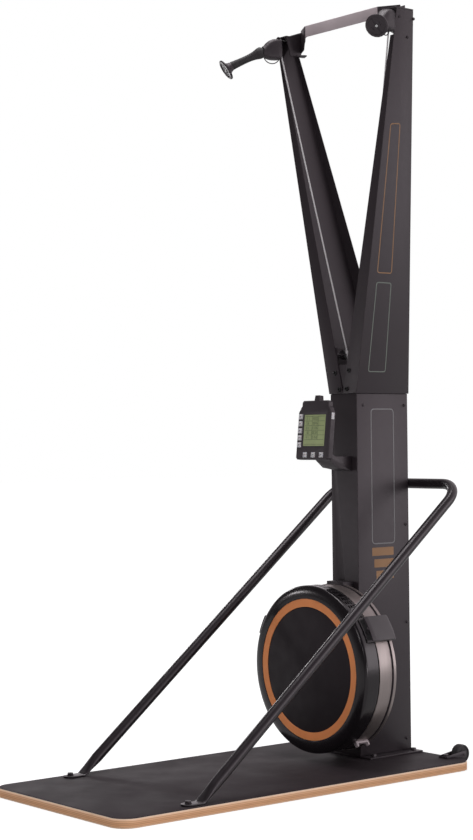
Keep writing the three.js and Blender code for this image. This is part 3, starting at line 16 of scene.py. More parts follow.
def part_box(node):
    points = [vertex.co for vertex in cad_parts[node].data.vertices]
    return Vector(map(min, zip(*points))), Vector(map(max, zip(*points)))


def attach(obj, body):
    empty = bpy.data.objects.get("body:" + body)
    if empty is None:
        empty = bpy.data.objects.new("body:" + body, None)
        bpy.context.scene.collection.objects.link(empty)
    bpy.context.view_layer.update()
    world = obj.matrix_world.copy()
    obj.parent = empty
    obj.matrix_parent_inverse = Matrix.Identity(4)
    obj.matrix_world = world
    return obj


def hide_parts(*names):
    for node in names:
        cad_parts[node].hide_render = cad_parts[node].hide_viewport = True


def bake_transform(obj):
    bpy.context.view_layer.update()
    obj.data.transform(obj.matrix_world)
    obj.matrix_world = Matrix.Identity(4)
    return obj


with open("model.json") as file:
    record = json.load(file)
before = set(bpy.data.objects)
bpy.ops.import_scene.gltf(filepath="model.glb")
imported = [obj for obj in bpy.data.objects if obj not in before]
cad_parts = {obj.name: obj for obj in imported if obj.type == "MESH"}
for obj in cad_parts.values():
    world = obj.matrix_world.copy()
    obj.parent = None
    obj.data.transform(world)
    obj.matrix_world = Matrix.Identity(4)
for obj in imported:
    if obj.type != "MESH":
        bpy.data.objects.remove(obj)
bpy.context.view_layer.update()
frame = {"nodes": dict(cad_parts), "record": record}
nodes = frame["nodes"]
slot_of = {part["node"]: part["material_slot"] for part in frame["record"]["subparts"]}
MM = 0.001

# %% [markdown]
# ## The view
# The photograph was taken with a longish lens from about five and a half metres, to the user's right and a
# little below the middle of the machine. A camera at that place with the same lens gives the same outline.
# The small shift of the lens stands for an uneven crop.

# %% Camera
CAMERA_PLACE = (3.99523, -3.2648, 0.95736)
CAMERA_TURN, CAMERA_RISE, CAMERA_ROLL = (math.radians(angle) for angle in (51.013, 0.858, -0.607))
FILM, LENS, SHIFT_X, SHIFT_Y = 36, 79.467, 0.01067, -0.01287
bpy.ops.object.camera_add()
camera = bpy.context.object
camera.name = "photo_camera"
ahead = Vector((-math.sin(CAMERA_TURN) * math.cos(CAMERA_RISE),
                math.cos(CAMERA_TURN) * math.cos(CAMERA_RISE), math.sin(CAMERA_RISE)))
level = Vector((math.cos(CAMERA_TURN), math.sin(CAMERA_TURN), 0))
upward = level.cross(ahead)
to_right = level * math.cos(CAMERA_ROLL) + upward * math.sin(CAMERA_ROLL)
to_top = upward * math.cos(CAMERA_ROLL) - level * math.sin(CAMERA_ROLL)
turn = Matrix((to_right, to_top, -ahead)).transposed().to_4x4()
camera.matrix_world = Matrix.Translation(CAMERA_PLACE) @ turn
camera.data.sensor_width = FILM
camera.data.lens = LENS
camera.data.shift_x = SHIFT_X
camera.data.shift_y = SHIFT_Y
camera.data.clip_end = 60
bpy.context.scene.camera = camera
bpy.context.scene.view_settings.view_transform = "Standard"
print("camera at", CAMERA_PLACE)

# %% [markdown]
# ## Shader nodes
# The sky, the floor and every finish are small trees of nodes. These helpers write such a tree in a few
# lines: a socket takes either a plain value or the output of another node.

# %% Node helpers
def feed(tree, socket, value):
    """Give a socket a plain value, or link another node's output to it."""
    if isinstance(value, bpy.types.NodeSocket):
        tree.links.new(value, socket)
    else:
        socket.default_value = value


def add_node(tree, kind, **sockets):
    """A new node, fed by the names of its sockets."""
    made = tree.nodes.new(kind)
    for name, value in sockets.items():
        feed(tree, made.inputs[name.replace("_", " ")], value)
    return made


def ordered(tree, kind, *values, **settings):
    """The outputs of a new node, whose sockets are fed in their order."""
    made = tree.nodes.new(kind)
    for name, value in settings.items():
        setattr(made, name, value)
    for socket, value in zip(made.inputs, values):
        feed(tree, socket, value)
    return made.outputs


def calculated(tree, operation, first, second):
    """One step of arithmetic between two values or outputs."""
    return ordered(tree, "ShaderNodeMath", first, second, operation=operation)[0]


def ranged(tree, value, start, end, low, high, interpolation="LINEAR"):
    """What runs from start to end then runs from low to high."""
    made = add_node(tree, "ShaderNodeMapRange", Value=value, From_Min=start, From_Max=end, To_Min=low, To_Max=high)
    made.interpolation_type = interpolation
    return made.outputs[0]


print("materials so far", len(bpy.data.materials))

# %% [markdown]
# ## Light
# A white studio. A broad soft lamp behind the machine and to its right lights the steel's long side, one
# stands in front, and one hangs above. Of three small ones, the first draws the left edges, the second
# draws the highlight on the cover's shoulder, and the third lights the edge of the board. The world is
# pale for the object and white for the eye, which gives the plain background without more light on the
# machine. Reflections see the room fade towards its dark side, as black steel needs something to mirror.

# %% World
def either_ray(tree, mirror_share=1.0):
    """One where the eye or a clear surface looks, a share where a reflection looks, and nought elsewhere."""
    ray = tree.nodes.new("ShaderNodeLightPath").outputs
    mirror = calculated(tree, "MULTIPLY", ray["Is Glossy Ray"], mirror_share)
    seen = calculated(tree, "MAXIMUM", ray["Is Camera Ray"], mirror)
    return calculated(tree, "MAXIMUM", seen, ray["Is Transmission Ray"])


world = bpy.data.worlds.new("studio")
bpy.context.scene.world = world
world.use_nodes = True
sky = world.node_tree
sky.nodes.clear()


def sky_light(strength, color=(1, 1, 1)):
    """One background of the sky."""
    return add_node(sky, "ShaderNodeBackground", Color=(*color, 1), Strength=strength).outputs[0]


LIGHT_ON_OBJECT, BACKDROP_WHITE = 0.27, 1.0
ROOM_DARK, ROOM_WHITE = 0.10, 1.0
ROOM_FROM, ROOM_TO = -0.5, 0.65
ROOM_COLOR = (1.0, 0.93, 0.965)
BACKDROP_SIDE = Vector((0.10, 0.95, -0.25)).normalized()
direction = sky.nodes.new("ShaderNodeTexCoord").outputs["Generated"]
facing = ordered(sky, "ShaderNodeVectorMath", direction, BACKDROP_SIDE, operation="DOT_PRODUCT")["Value"]
room = ranged(sky, facing, ROOM_FROM, ROOM_TO, ROOM_DARK, ROOM_WHITE, "SMOOTHSTEP")
on_object, backdrop = sky_light(LIGHT_ON_OBJECT), sky_light(BACKDROP_WHITE)
plain_sky = ordered(sky, "ShaderNodeMixShader", either_ray(sky), on_object, backdrop)
mirror_ray = sky.nodes.new("ShaderNodeLightPath").outputs["Is Glossy Ray"]
whole_sky = ordered(sky, "ShaderNodeMixShader", mirror_ray, plain_sky[0], sky_light(room, ROOM_COLOR))
add_node(sky, "ShaderNodeOutputWorld", Surface=whole_sky[0])
print("sky nodes", len(sky.nodes))

# %% [markdown]
# ### Lamps
# Each lamp is a rectangular softbox with a place, a point to look at, a width, a height and its watts. The
# larger the box, the softer the edge of its highlight.

# %% Lamps
def soft_lamp(name, place, aim, width, height, watts):
    """A rectangular softbox that looks at a point of the machine."""
    bpy.ops.object.light_add(type="AREA", location=place)
    lamp = bpy.context.object
    lamp.name = name
    lamp.data.shape = "RECTANGLE"
    lamp.data.size = width
    lamp.data.size_y = height
    lamp.data.energy = watts
    lamp.rotation_euler = (Vector(aim) - Vector(place)).to_track_quat("-Z", "Y").to_euler()
    print("lamp", name, watts, "W")


soft_lamp("key_lamp", (4.6, 3.5, 1.45), (0, 0.45, 1.0), 4.8, 2.5, 66)
soft_lamp("front_lamp", (1.8, -4.6, 2.3), (0, 0.3, 1.1), 1.5, 1.5, 36)
soft_lamp("side_lamp", (-3.7, 1.0, 1.85), (0, 0.26, 0.55), 0.9, 0.5, 14)
soft_lamp("rim_lamp", (-2.46, -1.48, 1.0), (-0.06, 0.26, 0.48), 0.42, 0.2, 4.6)
soft_lamp("low_lamp", (3.7, -0.9, 0.42), (0.3, 0, 0.02), 2.0, 0.5, 20)
soft_lamp("top_lamp", (-0.3, 0.1, 4.3), (0, 0.3, 1.0), 1.8, 1.8, 66)

# %% [markdown]
# ## Floor
# The floor is a plain pale sheet. To the eye it adds some white of its own, a little more with distance as
# the lamps fade, so open floor reads as background while the machine's soft shadow stays.

# %% Floor
FLOOR_SIZE = 60
FLOOR_DROP = -0.5 * MM
FLOOR_GREY = (0.55, 0.55, 0.55, 1)
FLOOR_IN_MIRROR = 0.3
GLOW_NEAR, GLOW_FAR, FADE_FROM, FADE_TO = 0.74, 0.94, 1.2, 4.0


def started(name, add, **how):
    """A new primitive by itself, under its name."""
    bpy.ops.object.select_all(action="DESELECT")
    add(**how)
    piece = bpy.context.object
    piece.name = name
    return piece


floor = started("studio_floor", bpy.ops.mesh.primitive_plane_add, size=FLOOR_SIZE, location=(0, 0, FLOOR_DROP))
floor_finish = bpy.data.materials.new("studio_floor")
floor_finish.use_nodes = True
floor_tree = floor_finish.node_tree
floor_tree.nodes.clear()
spot = floor_tree.nodes.new("ShaderNodeTexCoord").outputs["Object"]
reach = ordered(floor_tree, "ShaderNodeVectorMath", spot, operation="LENGTH")["Value"]
fade = ranged(floor_tree, reach, FADE_FROM, FADE_TO, GLOW_NEAR, GLOW_FAR)
glow = calculated(floor_tree, "MULTIPLY", either_ray(floor_tree, FLOOR_IN_MIRROR), fade)
paint = add_node(floor_tree, "ShaderNodeBsdfDiffuse", Color=FLOOR_GREY)
shine = add_node(floor_tree, "ShaderNodeEmission", Color=(1, 1, 1, 1), Strength=glow)
both = ordered(floor_tree, "ShaderNodeAddShader", paint.outputs[0], shine.outputs[0])
add_node(floor_tree, "ShaderNodeOutputMaterial", Surface=both[0])
floor.data.materials.append(floor_finish)
print("floor of", FLOOR_SIZE, "m")

# %% [markdown]
# ## Finishes
# Every finish starts from one shader and reads the piece's own coordinates in metres, so that grain, peel
# and brushing keep their real size on large and small pieces alike. The helpers below each add one thing
# that a real surface shows: an uneven colour, an uneven gloss, or a fine relief.

# %% Finish helpers
class Finish:
    """A material with its shader and the coordinates that its patterns follow."""

    def __init__(self, name, color, **sockets):
        self.material = bpy.data.materials.new(name)
        self.material.use_nodes = True
        self.material.diffuse_color = (*color, 1)
        self.tree = self.material.node_tree
        self.shader = self.tree.nodes["Principled BSDF"]
        self.color = color
        self.place = self.node("ShaderNodeTexCoord").outputs["Object"]
        self.set(Base_Color=(*color, 1), **sockets)

    def node(self, kind, **sockets):
        return add_node(self.tree, kind, **sockets)

    def set(self, **sockets):
        """Values or links straight on the shader."""
        for name, value in sockets.items():
            feed(self.tree, self.shader.inputs[name.replace("_", " ")], value)
        return self

    def stretched(self, *scale):
        """The piece's coordinates, squeezed or stretched along each axis."""
        return self.node("ShaderNodeMapping", Vector=self.place, Scale=scale).outputs["Vector"]

    def noise(self, scale, detail=3.0, place=None):
        """Soft blotches, which get smaller as the scale grows."""
        return self.node("ShaderNodeTexNoise", Vector=place or self.place, Scale=scale, Detail=detail).outputs["Fac"]

    def ramp(self, value, stops):
        """Colours at places from nought to one."""
        made = self.node("ShaderNodeValToRGB", Fac=value)
        elements = made.color_ramp.elements
        while len(elements) < len(stops):
            elements.new(0.5)
        for element, (place, color) in zip(elements, stops):
            element.position = place
            element.color = (*color, 1)
        return made.outputs["Color"]

    def mottled(self, spread, scale, place=None):
        """The colour drifts a little lighter and darker over the surface."""
        dark, pale = (tuple(c * share for c in self.color) for share in (1 - spread, 1 + spread))
        return self.set(Base_Color=self.ramp(self.noise(scale, 4.0, place), [(0.3, dark), (0.7, pale)]))

    def uneven_gloss(self, low, high, scale, place=None):
        """The roughness wanders between two values."""
        return self.set(Roughness=ranged(self.tree, self.noise(scale, place=place), 0.3, 0.7, low, high))

    def relief(self, height, strength, depth_mm):
        """A height pattern bends the light over the given depth in millimetres."""
        bump = self.node("ShaderNodeBump", Height=height, Strength=strength, Distance=depth_mm * MM)
        return self.set(Normal=bump.outputs["Normal"])


def surface(name, color, mottle, gloss, grain=None, **sockets):
    """An uneven colour, an uneven gloss and, where asked, a grain of (bump size in mm, strength, depth in mm)."""
    finish = Finish(name, color, **sockets).mottled(*mottle).uneven_gloss(*gloss)
    if grain:
        bump_mm, strength, depth_mm = grain
        finish.relief(finish.noise(1 / (bump_mm * MM * 2), 2.0), strength, depth_mm)
    return finish


print("helpers of a finish", [name for name in vars(Finish) if not name.startswith("_")])

# %% [markdown]
# ### Powder coat and paint
# Powder coat melts on the steel and freezes with a faint orange-peel ripple about a millimetre across. The
# crossbar and the strap's lugs are a warm satin grey with the same ripple but finer.

# %% Coated steel
powder_coat = surface("powder_coat", (0.0185, 0.0135, 0.0165), (0.05, 9), (0.42, 0.455, 60), (1.1, 0.25, 0.06),
                      Specular_Tint=(1.0, 0.90, 0.96, 1))
tube_satin = surface("tube_satin", (0.014, 0.0105, 0.013), (0.1, 12), (0.30, 0.36, 26), (0.9, 0.05, 0.015),
                     Specular_Tint=(1.0, 0.91, 0.96, 1))
warm_grey = surface("warm_grey_paint", (0.47, 0.395, 0.42), (0.07, 14), (0.4, 0.52, 30), (0.8, 0.2, 0.04),
                    Metallic=0.1)
print("coats", powder_coat.material.name, warm_grey.material.name)

# %% [markdown]
# ### Metals
# The strap is brushed round the housing, so its fine lines follow the rim: noise that changes fast along
# the axle and slowly round it. Turned steel parts carry the same lines in a finer form, and the rotor is a
# plain cast and cut aluminium.

# %% Bare metals
brushed_strap = Finish("brushed_strap", (0.30, 0.255, 0.25), Metallic=0.8, Anisotropic=0.5)
strap_lines = brushed_strap.stretched(14, 2600, 14)
brushed_strap.mottled(0.16, 1.0, strap_lines).uneven_gloss(0.3, 0.46, 1.0, strap_lines)
brushed_strap.relief(brushed_strap.noise(1.0, place=strap_lines), 0.12, 0.02)

turned_steel = Finish("turned_steel", (0.56, 0.55, 0.56), Metallic=1.0)
turned_lines = turned_steel.stretched(60, 3200, 60)
turned_steel.mottled(0.1, 1.0, turned_lines).uneven_gloss(0.22, 0.34, 1.0, turned_lines)

rotor_metal = surface("rotor_metal", (0.50, 0.50, 0.52), (0.08, 40), (0.34, 0.5, 60), (0.9, 0.2, 0.05), Metallic=1.0)
print("metals", brushed_strap.material.name, turned_steel.material.name, rotor_metal.material.name)

# %% [markdown]
# ### Plastics and rubber
# The front cover is polished black plastic under a thin clear skin. The inner panel, the hoods and the
# console are moulded with a fine spark-eroded grain, and the grips and wheels are matt rubber.

# %% Moulded parts
BLACK_SHEEN = (1.0, 0.90, 0.95, 1)
gloss_cover = surface("gloss_cover", (0.0085, 0.0070, 0.0085), (0.15, 6), (0.18, 0.26, 12),
                      Specular_IOR_Level=0.42, Coat_Weight=0.12, Coat_Roughness=0.08, Specular_Tint=BLACK_SHEEN)
grained_black = surface("grained_black", (0.025, 0.0195, 0.0235), (0.12, 12), (0.42, 0.56, 30), (0.45, 0.35, 0.04),
                        Specular_Tint=BLACK_SHEEN)
bolt_black = surface("bolt_black", (0.006, 0.005, 0.006), (0.12, 30), (0.44, 0.56, 40), Specular_IOR_Level=0.3)
face_panel = surface("face_panel", (0.0125, 0.0092, 0.0115), (0.12, 7), (0.54, 0.68, 20), (0.5, 0.3, 0.04),
                     Specular_IOR_Level=0.35, Specular_Tint=(1.0, 0.86, 0.93, 1))
ring_orange = surface("ring_orange", (0.86, 0.285, 0.09), (0.06, 14), (0.44, 0.56, 30), (0.35, 0.15, 0.02))
matt_rubber = surface("matt_rubber", (0.024, 0.020, 0.023), (0.12, 18), (0.58, 0.72, 40), (0.7, 0.4, 0.08))
lever_paint = surface("lever_paint", (0.062, 0.052, 0.058), (0.1, 20), (0.4, 0.54, 40), (0.5, 0.25, 0.04),
                      Metallic=0.1)
key_rubber = surface("key_rubber", (0.66, 0.63, 0.66), (0.05, 60), (0.5, 0.62, 90), (0.3, 0.2, 0.02),
                     Subsurface_Weight=0.05, Subsurface_Scale=0.002)
mark_ink = surface("mark_ink", (0.10, 0.10, 0.11), (0.1, 80), (0.55, 0.65, 90))
print("plastics ready")

# %% [markdown]
# ### Platform
# The board is edge-sealed plywood, whose edge shows pale plies between thin dark lines. The top is a thin
# film pressed with a fine mesh for grip.

# %% Plywood and mat
BOARD_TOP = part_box("deck_board")[1].z
VENEERS = [(0.0, (0.72, 0.50, 0.34)), (0.10, (0.90, 0.58, 0.38)), (0.21, (0.60, 0.30, 0.15)),
           (0.25, (0.90, 0.50, 0.28)), (0.40, (0.58, 0.28, 0.14)), (0.44, (0.84, 0.46, 0.25)),
           (0.58, (0.60, 0.30, 0.15)), (0.62, (0.94, 0.55, 0.33)), (0.76, (0.66, 0.34, 0.18)),
           (0.80, (0.96, 0.58, 0.37)), (0.93, (1.0, 0.70, 0.50)), (1.0, (0.98, 0.74, 0.58))]
veneer_edge = Finish("veneer_edge", (0.60, 0.42, 0.27))
height = veneer_edge.node("ShaderNodeSeparateXYZ", Vector=veneer_edge.place).outputs["Z"]
plies = veneer_edge.ramp(calculated(veneer_edge.tree, "MULTIPLY", height, 1 / BOARD_TOP), VENEERS)
fibre = veneer_edge.noise(1.0, 5.0, veneer_edge.stretched(30, 30, 1400))
fibre_tone = veneer_edge.ramp(fibre, [(0.3, (0.86, 0.84, 0.82)), (0.7, (1.10, 1.10, 1.10))])
ply_mix = veneer_edge.node("ShaderNodeMixRGB", Fac=0.8, Color1=plies, Color2=fibre_tone)
ply_mix.blend_type = "MULTIPLY"
veneer_edge.set(Base_Color=ply_mix.outputs[0]).uneven_gloss(0.55, 0.7, 60).relief(fibre, 0.35, 0.12)

MESH_PITCH = 2.4 * MM
grip_film = surface("grip_film", (0.030, 0.0225, 0.0262), (0.14, 5), (0.58, 0.72, 9), Specular_IOR_Level=0.12)
weave = grip_film.node("ShaderNodeTexVoronoi", Vector=grip_film.place, Scale=1 / MESH_PITCH, Randomness=0.0)
weave.distance = "CHEBYCHEV"
grip_film.relief(weave.outputs["Distance"], 0.3, 0.15)
print("veneers", len(VENEERS), "mesh pitch", MESH_PITCH)

# %% [markdown]
# ### Rope and display
# The rope is a braid, whose strands show as small cells that are a little longer along the rope. The
# display is a grey-green crystal panel under a clear lens.

# %% Rope, display
STRAND_SCALE = 620.0
rope_braid = Finish("rope_braid", (0.76, 0.73, 0.75), Roughness=0.8, Sheen_Weight=0.15)
strands = rope_braid.node("ShaderNodeTexVoronoi", Vector=rope_braid.stretched(1, 1, 0.55), Scale=STRAND_SCALE,
                          Randomness=0.35).outputs["Distance"]
rope_tone = rope_braid.ramp(strands, [(0.0, (0.86, 0.83, 0.85)), (0.8, (0.50, 0.46, 0.48))])
rope_braid.set(Base_Color=rope_tone).relief(strands, 0.5, 0.3)

display_green = surface("display_green", (0.32, 0.375, 0.165), (0.08, 30), (0.3, 0.4, 40),
                        Coat_Weight=0.5, Coat_Roughness=0.1)
display_ink = surface("display_ink", (0.085, 0.115, 0.05), (0.1, 60), (0.45, 0.55, 80))

FINISHES = {
    "plywood": veneer_edge, "mat": grip_film, "black_steel": powder_coat, "grey_paint": warm_grey,
    "black_plastic": grained_black, "gloss_black": gloss_cover, "accent_orange": ring_orange,
    "brushed": brushed_strap, "fan_metal": rotor_metal, "bright_steel": turned_steel,
    "lever_grey": lever_paint, "rope": rope_braid, "grip_rubber": matt_rubber,
    "screen": display_green, "button_white": key_rubber,
}


def dress(piece, finish):
    """Give a piece one finish all over."""
    piece.data.materials.clear()
    piece.data.materials.append(finish.material)


for node, cad_piece in nodes.items():
    dress(cad_piece, FINISHES[slot_of[node]])
dress(nodes["centre_panel"], face_panel)
print("finishes", len(FINISHES))

# %% [markdown]
# ## Modelling helpers
# The packed solids have knife-sharp edges. A real fold or moulding has a small radius that catches the
# light, so most pieces are copied, welded, and given a bevel of their own size. The copy replaces the
# packed node and rides on the same body.

# %% Select, apply and soften
BODY_OF = {node: body for body, members in frame["record"]["behaviour"]["bodies"].items() for node in members}
SIDES = {-1: "left", 1: "right"}


def only(piece):
    """Select one piece and nothing else."""
    bpy.ops.object.select_all(action="DESELECT")
    piece.select_set(True)
    bpy.context.view_layer.objects.active = piece


def editing(piece, pick="SELECT"):
    """Open a piece in edit mode with all of it selected, or none."""
    only(piece)
    bpy.ops.object.mode_set(mode="EDIT")
    bpy.ops.mesh.select_all(action=pick)


def done_editing():
    bpy.ops.object.mode_set(mode="OBJECT")


def modified(piece, kind, **settings):
    """Add one modifier and apply it."""
    modifier = piece.modifiers.new(kind.lower(), kind)
    for name, value in settings.items():
        setattr(modifier, name, value)
    only(piece)
    bpy.ops.object.modifier_apply(modifier=modifier.name)
    return piece


def smoothed(piece, angle=35):
    """Smooth shading, but not across edges sharper than the angle."""
    only(piece)
    bpy.ops.object.shade_smooth_by_angle(angle=math.radians(angle))
    return piece


def rounded_edges(piece, width_mm, segments=2, angle=30):
    """Bevel every edge that is sharper than the angle and smooth the faces between."""
    modified(piece, "BEVEL", width=width_mm * MM, segments=segments, limit_method="ANGLE",
             angle_limit=math.radians(angle), use_clamp_overlap=True)
    return smoothed(piece, angle)


def thickened(piece, thickness_mm, offset=0.0):
    """Give a sheet its wall."""
    return modified(piece, "SOLIDIFY", thickness=thickness_mm * MM, offset=offset, use_even_offset=True)


def fitted(piece, body, slot, finish=None, stands_for=()):
    """Seat a finished piece: on its body, with its finish or else the finish of its slot."""
    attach(piece, body)
    dress(piece, finish or FINISHES[slot])
    if stands_for:
        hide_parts(*stands_for)
    return piece


def softened(node, width_mm, segments=2, angle=30, finish=None):
    """A welded copy of a packed node with rounded edges, which takes the node's place."""
    piece = nodes[node].copy()
    piece.data = nodes[node].data.copy()
    piece.parent = None
    for key in list(piece.keys()):
        del piece[key]
    piece.name = node + "_softened"
    bpy.context.scene.collection.objects.link(piece)
    editing(piece)
    bpy.ops.mesh.remove_doubles(threshold=0.01 * MM)
    bpy.ops.mesh.dissolve_limited(angle_limit=math.radians(0.5))
    done_editing()
    rounded_edges(piece, width_mm, segments, angle)
    fitted(piece, BODY_OF[node], slot_of[node], finish, [node])


# %% [markdown]
# ## Drawing tools
# Round and bent pieces start from a string of vertices. Turning the string round an axis gives a wheel or a
# cover, drawing it upwards gives a bar on edge, and a curve with a round section gives a tube. Working from
# the outline keeps the real radii, which a stretched sphere would lose.

# %% Strings and joins
RIGHT, FORWARD, UP = Vector((1, 0, 0)), Vector((0, 1, 0)), Vector((0, 0, 1))


def point(x, y, z):
    """A place given in millimetres."""
    return Vector((x, y, z)) * MM


def settle(piece, place):
    """Bring a piece to its place and leave the object at the origin."""
    piece.matrix_world = place
    only(piece)
    bpy.ops.object.transform_apply(location=True, rotation=True, scale=True)
    return piece


def joined(name, pieces):
    """Several pieces as one object."""
    only(pieces[0])
    for other in pieces[1:]:
        other.select_set(True)
    bpy.ops.object.join()
    piece = bpy.context.object
    piece.name = name
    return piece


def chain(name, points):
    """A string of vertices through the points, left in edit mode with all of it selected."""
    piece = started(name, bpy.ops.mesh.primitive_plane_add, size=MM)
    editing(piece)
    bpy.ops.mesh.merge(type="CENTER")
    bpy.ops.transform.translate(value=points[0])
    for before, after in zip(points, points[1:]):
        bpy.ops.mesh.extrude_region_move(TRANSFORM_OT_translate={"value": after - before})
    bpy.ops.mesh.select_all(action="SELECT")
    return piece


print("axes", RIGHT, FORWARD, UP)

# %% [markdown]
# ### Turning
# A turned piece is a string spun round an axis. A full turn closes on itself and is welded there. A part of
# a turn leaves two open ends, which are filled.

# %% Turning
WELD = 0.004 * MM


def faced_out():
    """Turn all faces of the piece in edit mode outwards."""
    bpy.ops.mesh.select_all(action="SELECT")
    bpy.ops.mesh.normals_make_consistent(inside=False)


def welded():
    """Merge the doubles of the piece in edit mode and turn its faces outwards."""
    bpy.ops.mesh.select_all(action="SELECT")
    bpy.ops.mesh.remove_doubles(threshold=WELD)
    faced_out()


def turned(name, profile, steps, centre=Vector(), axis=FORWARD, side=RIGHT, sweep=math.tau):
    """Turn a profile of (radius, along) pairs in millimetres round an axis through the centre."""
    piece = chain(name, [centre + side * (r * MM) + axis * (a * MM) for r, a in profile])
    bpy.ops.mesh.spin(steps=steps, angle=sweep, center=centre, axis=axis)
    welded()
    if sweep < math.tau:
        bpy.ops.mesh.fill_holes(sides=0)
        faced_out()
    done_editing()
    return smoothed(piece)


print("points closer than", WELD, "m are welded")

# %% [markdown]
# ### Bent paths and tubes
# A bent tube has arcs of one radius between straight runs. The path holds those arcs, and a curve with a
# round section that follows it is turned into a mesh.

# %% Paths and tubes
def rounded_path(corners, radius, steps):
    """The corners of a path in millimetres, with each inner one turned into an arc; the result is in metres."""
    corners = [Vector(corner) for corner in corners]
    path = [corners[0]]
    for before, corner, after in zip(corners, corners[1:], corners[2:]):
        back, on = (before - corner).normalized(), (after - corner).normalized()
        half = back.angle(on) / 2
        middle = corner + (back + on).normalized() * radius / math.sin(half)
        spoke = corner + back * radius / math.tan(half) - middle
        bend_axis = back.cross(on).normalized()
        for k in range(steps + 1):
            bend = Matrix.Rotation(-(math.pi - 2 * half) * k / steps, 3, bend_axis)
            path.append(middle + bend @ spoke)
    path.append(corners[-1])
    return [place * MM for place in path]


def tube_along(name, path, radius, sides, caps=True):
    """A round tube on a path in metres, as a mesh."""
    route = bpy.data.curves.new(name, "CURVE")
    route.dimensions = "3D"
    route.bevel_depth = radius * MM
    route.bevel_resolution = (sides - 4) // 2
    route.use_fill_caps = caps
    spline = route.splines.new("POLY")
    spline.points.add(len(path) - 1)
    for spot, place in zip(spline.points, path):
        spot.co = (*place, 1)
    tube = bpy.data.objects.new(name, route)
    bpy.context.scene.collection.objects.link(tube)
    only(tube)
    bpy.ops.object.convert(target="MESH")
    tube = bpy.context.object
    tube.name = name
    editing(tube)
    welded()
    done_editing()
    return smoothed(tube, 50)


print("a bend of 90 degrees in 4 steps has", len(rounded_path([(0, 0, 0), (9, 0, 0), (9, 9, 0)], 2, 4)), "points")

# %% [markdown]
# ### Lofts
# A moulded form that changes its section is drawn as a ring through a few stations. Each station says how
# wide and tall the ring is there and how square.

# %% Lofts
def signed_power(value, power):
    """Below one, the power swells a circle's cosine and sine towards those of a square."""
    return math.copysign(abs(value) ** power, value)


def loft(name, stations, sides):
    """Draw a ring through stations of (centre, half width, half height, squareness power) in metres."""
    piece = started(name, bpy.ops.mesh.primitive_circle_add, vertices=sides, radius=1)
    editing(piece)
    turns = None
    for number, (centre, across, up, power) in enumerate(stations):
        if number:
            bpy.ops.mesh.extrude_region_move()
        mesh = bmesh.from_edit_mesh(piece.data)
        ring = [spot for spot in mesh.verts if spot.select]
        if turns is None:
            turns = {spot.co.to_tuple(6): math.atan2(spot.co.y, spot.co.x) for spot in ring}
        placed = {}
        for spot in ring:
            angle = turns[spot.co.to_tuple(6)]
            wide, tall = signed_power(math.cos(angle), power), signed_power(math.sin(angle), power)
            spot.co = centre + across * wide + up * tall
            placed[spot.co.to_tuple(6)] = angle
        turns = placed
        bmesh.update_edit_mesh(piece.data)
    bpy.ops.mesh.select_all(action="SELECT")
    bpy.ops.mesh.fill_holes(sides=0)
    welded()
    done_editing()
    return smoothed(piece, 40)


print("at squareness 0.45 a corner reaches", round(signed_power(math.cos(math.pi / 4), 0.45), 3), "of the half width")

# %% [markdown]
# ## Folded and moulded pieces
# The column, arms and brackets are folded sheet, whose outer bends have a radius near the sheet's
# thickness. The moulded lever and the console case are rounder, and small turned parts only lose their burr.

# %% Soften the rigid pieces
def both_sides(widths):
    """The same width for the left and the right piece."""
    return {f"{side}_{part}": width for part, width in widths.items() for side in SIDES.values()}


SHEET_PIECES = {  # node, width of the rounded edge in millimetres
    "lower_column": 2.0, **both_sides({"arm": 1.2, "arm_head": 0.8}),
    "base_plate": 0.7, "stay_saddle": 0.8, "console_bracket": 0.5,
    **both_sides({"wheel_bracket": 0.5, "band_foot": 1.0}), "joint_liner": 0.4, "bearing_bridge": 0.6,
    "column_back_panel": 0.4, "deck_board": 0.9, "deck_mat": 0.35, "brushed_band": 0.4,
}
MOULDED_PIECES = {
    "console_case": 1.3, "rear_cover": 0.8, "lever_knob": 1.4, "resistance_lever": 3.2,
    **both_sides({"recoil_case": 0.5, "end_disc": 0.5, "top_pulley": 0.4, "idler": 0.4, "drum": 0.4}),
    "front_bearing": 0.3, "rear_bearing": 0.3, "flywheel_axle": 0.4, "magnet_carrier": 0.8, "flywheel_fan": 0.3,
}
for node, width in SHEET_PIECES.items():
    softened(node, width)
for node, width in MOULDED_PIECES.items():
    softened(node, width, 3, 35)
softened("vent_grille", 0.35, 2, 35, gloss_cover)
for node in [name for name in nodes if "_button_" in name]:
    softened(node, 1.2, 3)
print("softened", len(SHEET_PIECES) + len(MOULDED_PIECES))

# %% [markdown]
# ## Housing front
# The cover is a dished moulding: a recessed face, a raised lip round it, a quarter-round shoulder and a
# short wall with the vent window in its top. Turning one outline gives the shell, the window's faces are
# deleted, and the wall is thickened inwards. A small boss on the rim is turned through a few degrees only.
# The ring and the panel are turned too, with their own edges.

# %% Front cover, ring and panel
AXLE_HEIGHT = 289
AXLE = point(0, 0, AXLE_HEIGHT)
COVER_STEPS = 144
RIM_RADIUS, COVER_BACK = 240, 307
FACE_RADIUS, FACE_Y, LIP_Y = 202.4, 258, 254.5
LIP_RADIUS, SHOULDER_WIDE, SHOULDER_DEEP, SHOULDER_BACK, SHOULDER_STEPS = 207, 33, 12.5, 267, 14
VENT_FRONT, VENT_BACK, VENT_HALF_ANGLE = 276, 303, 50

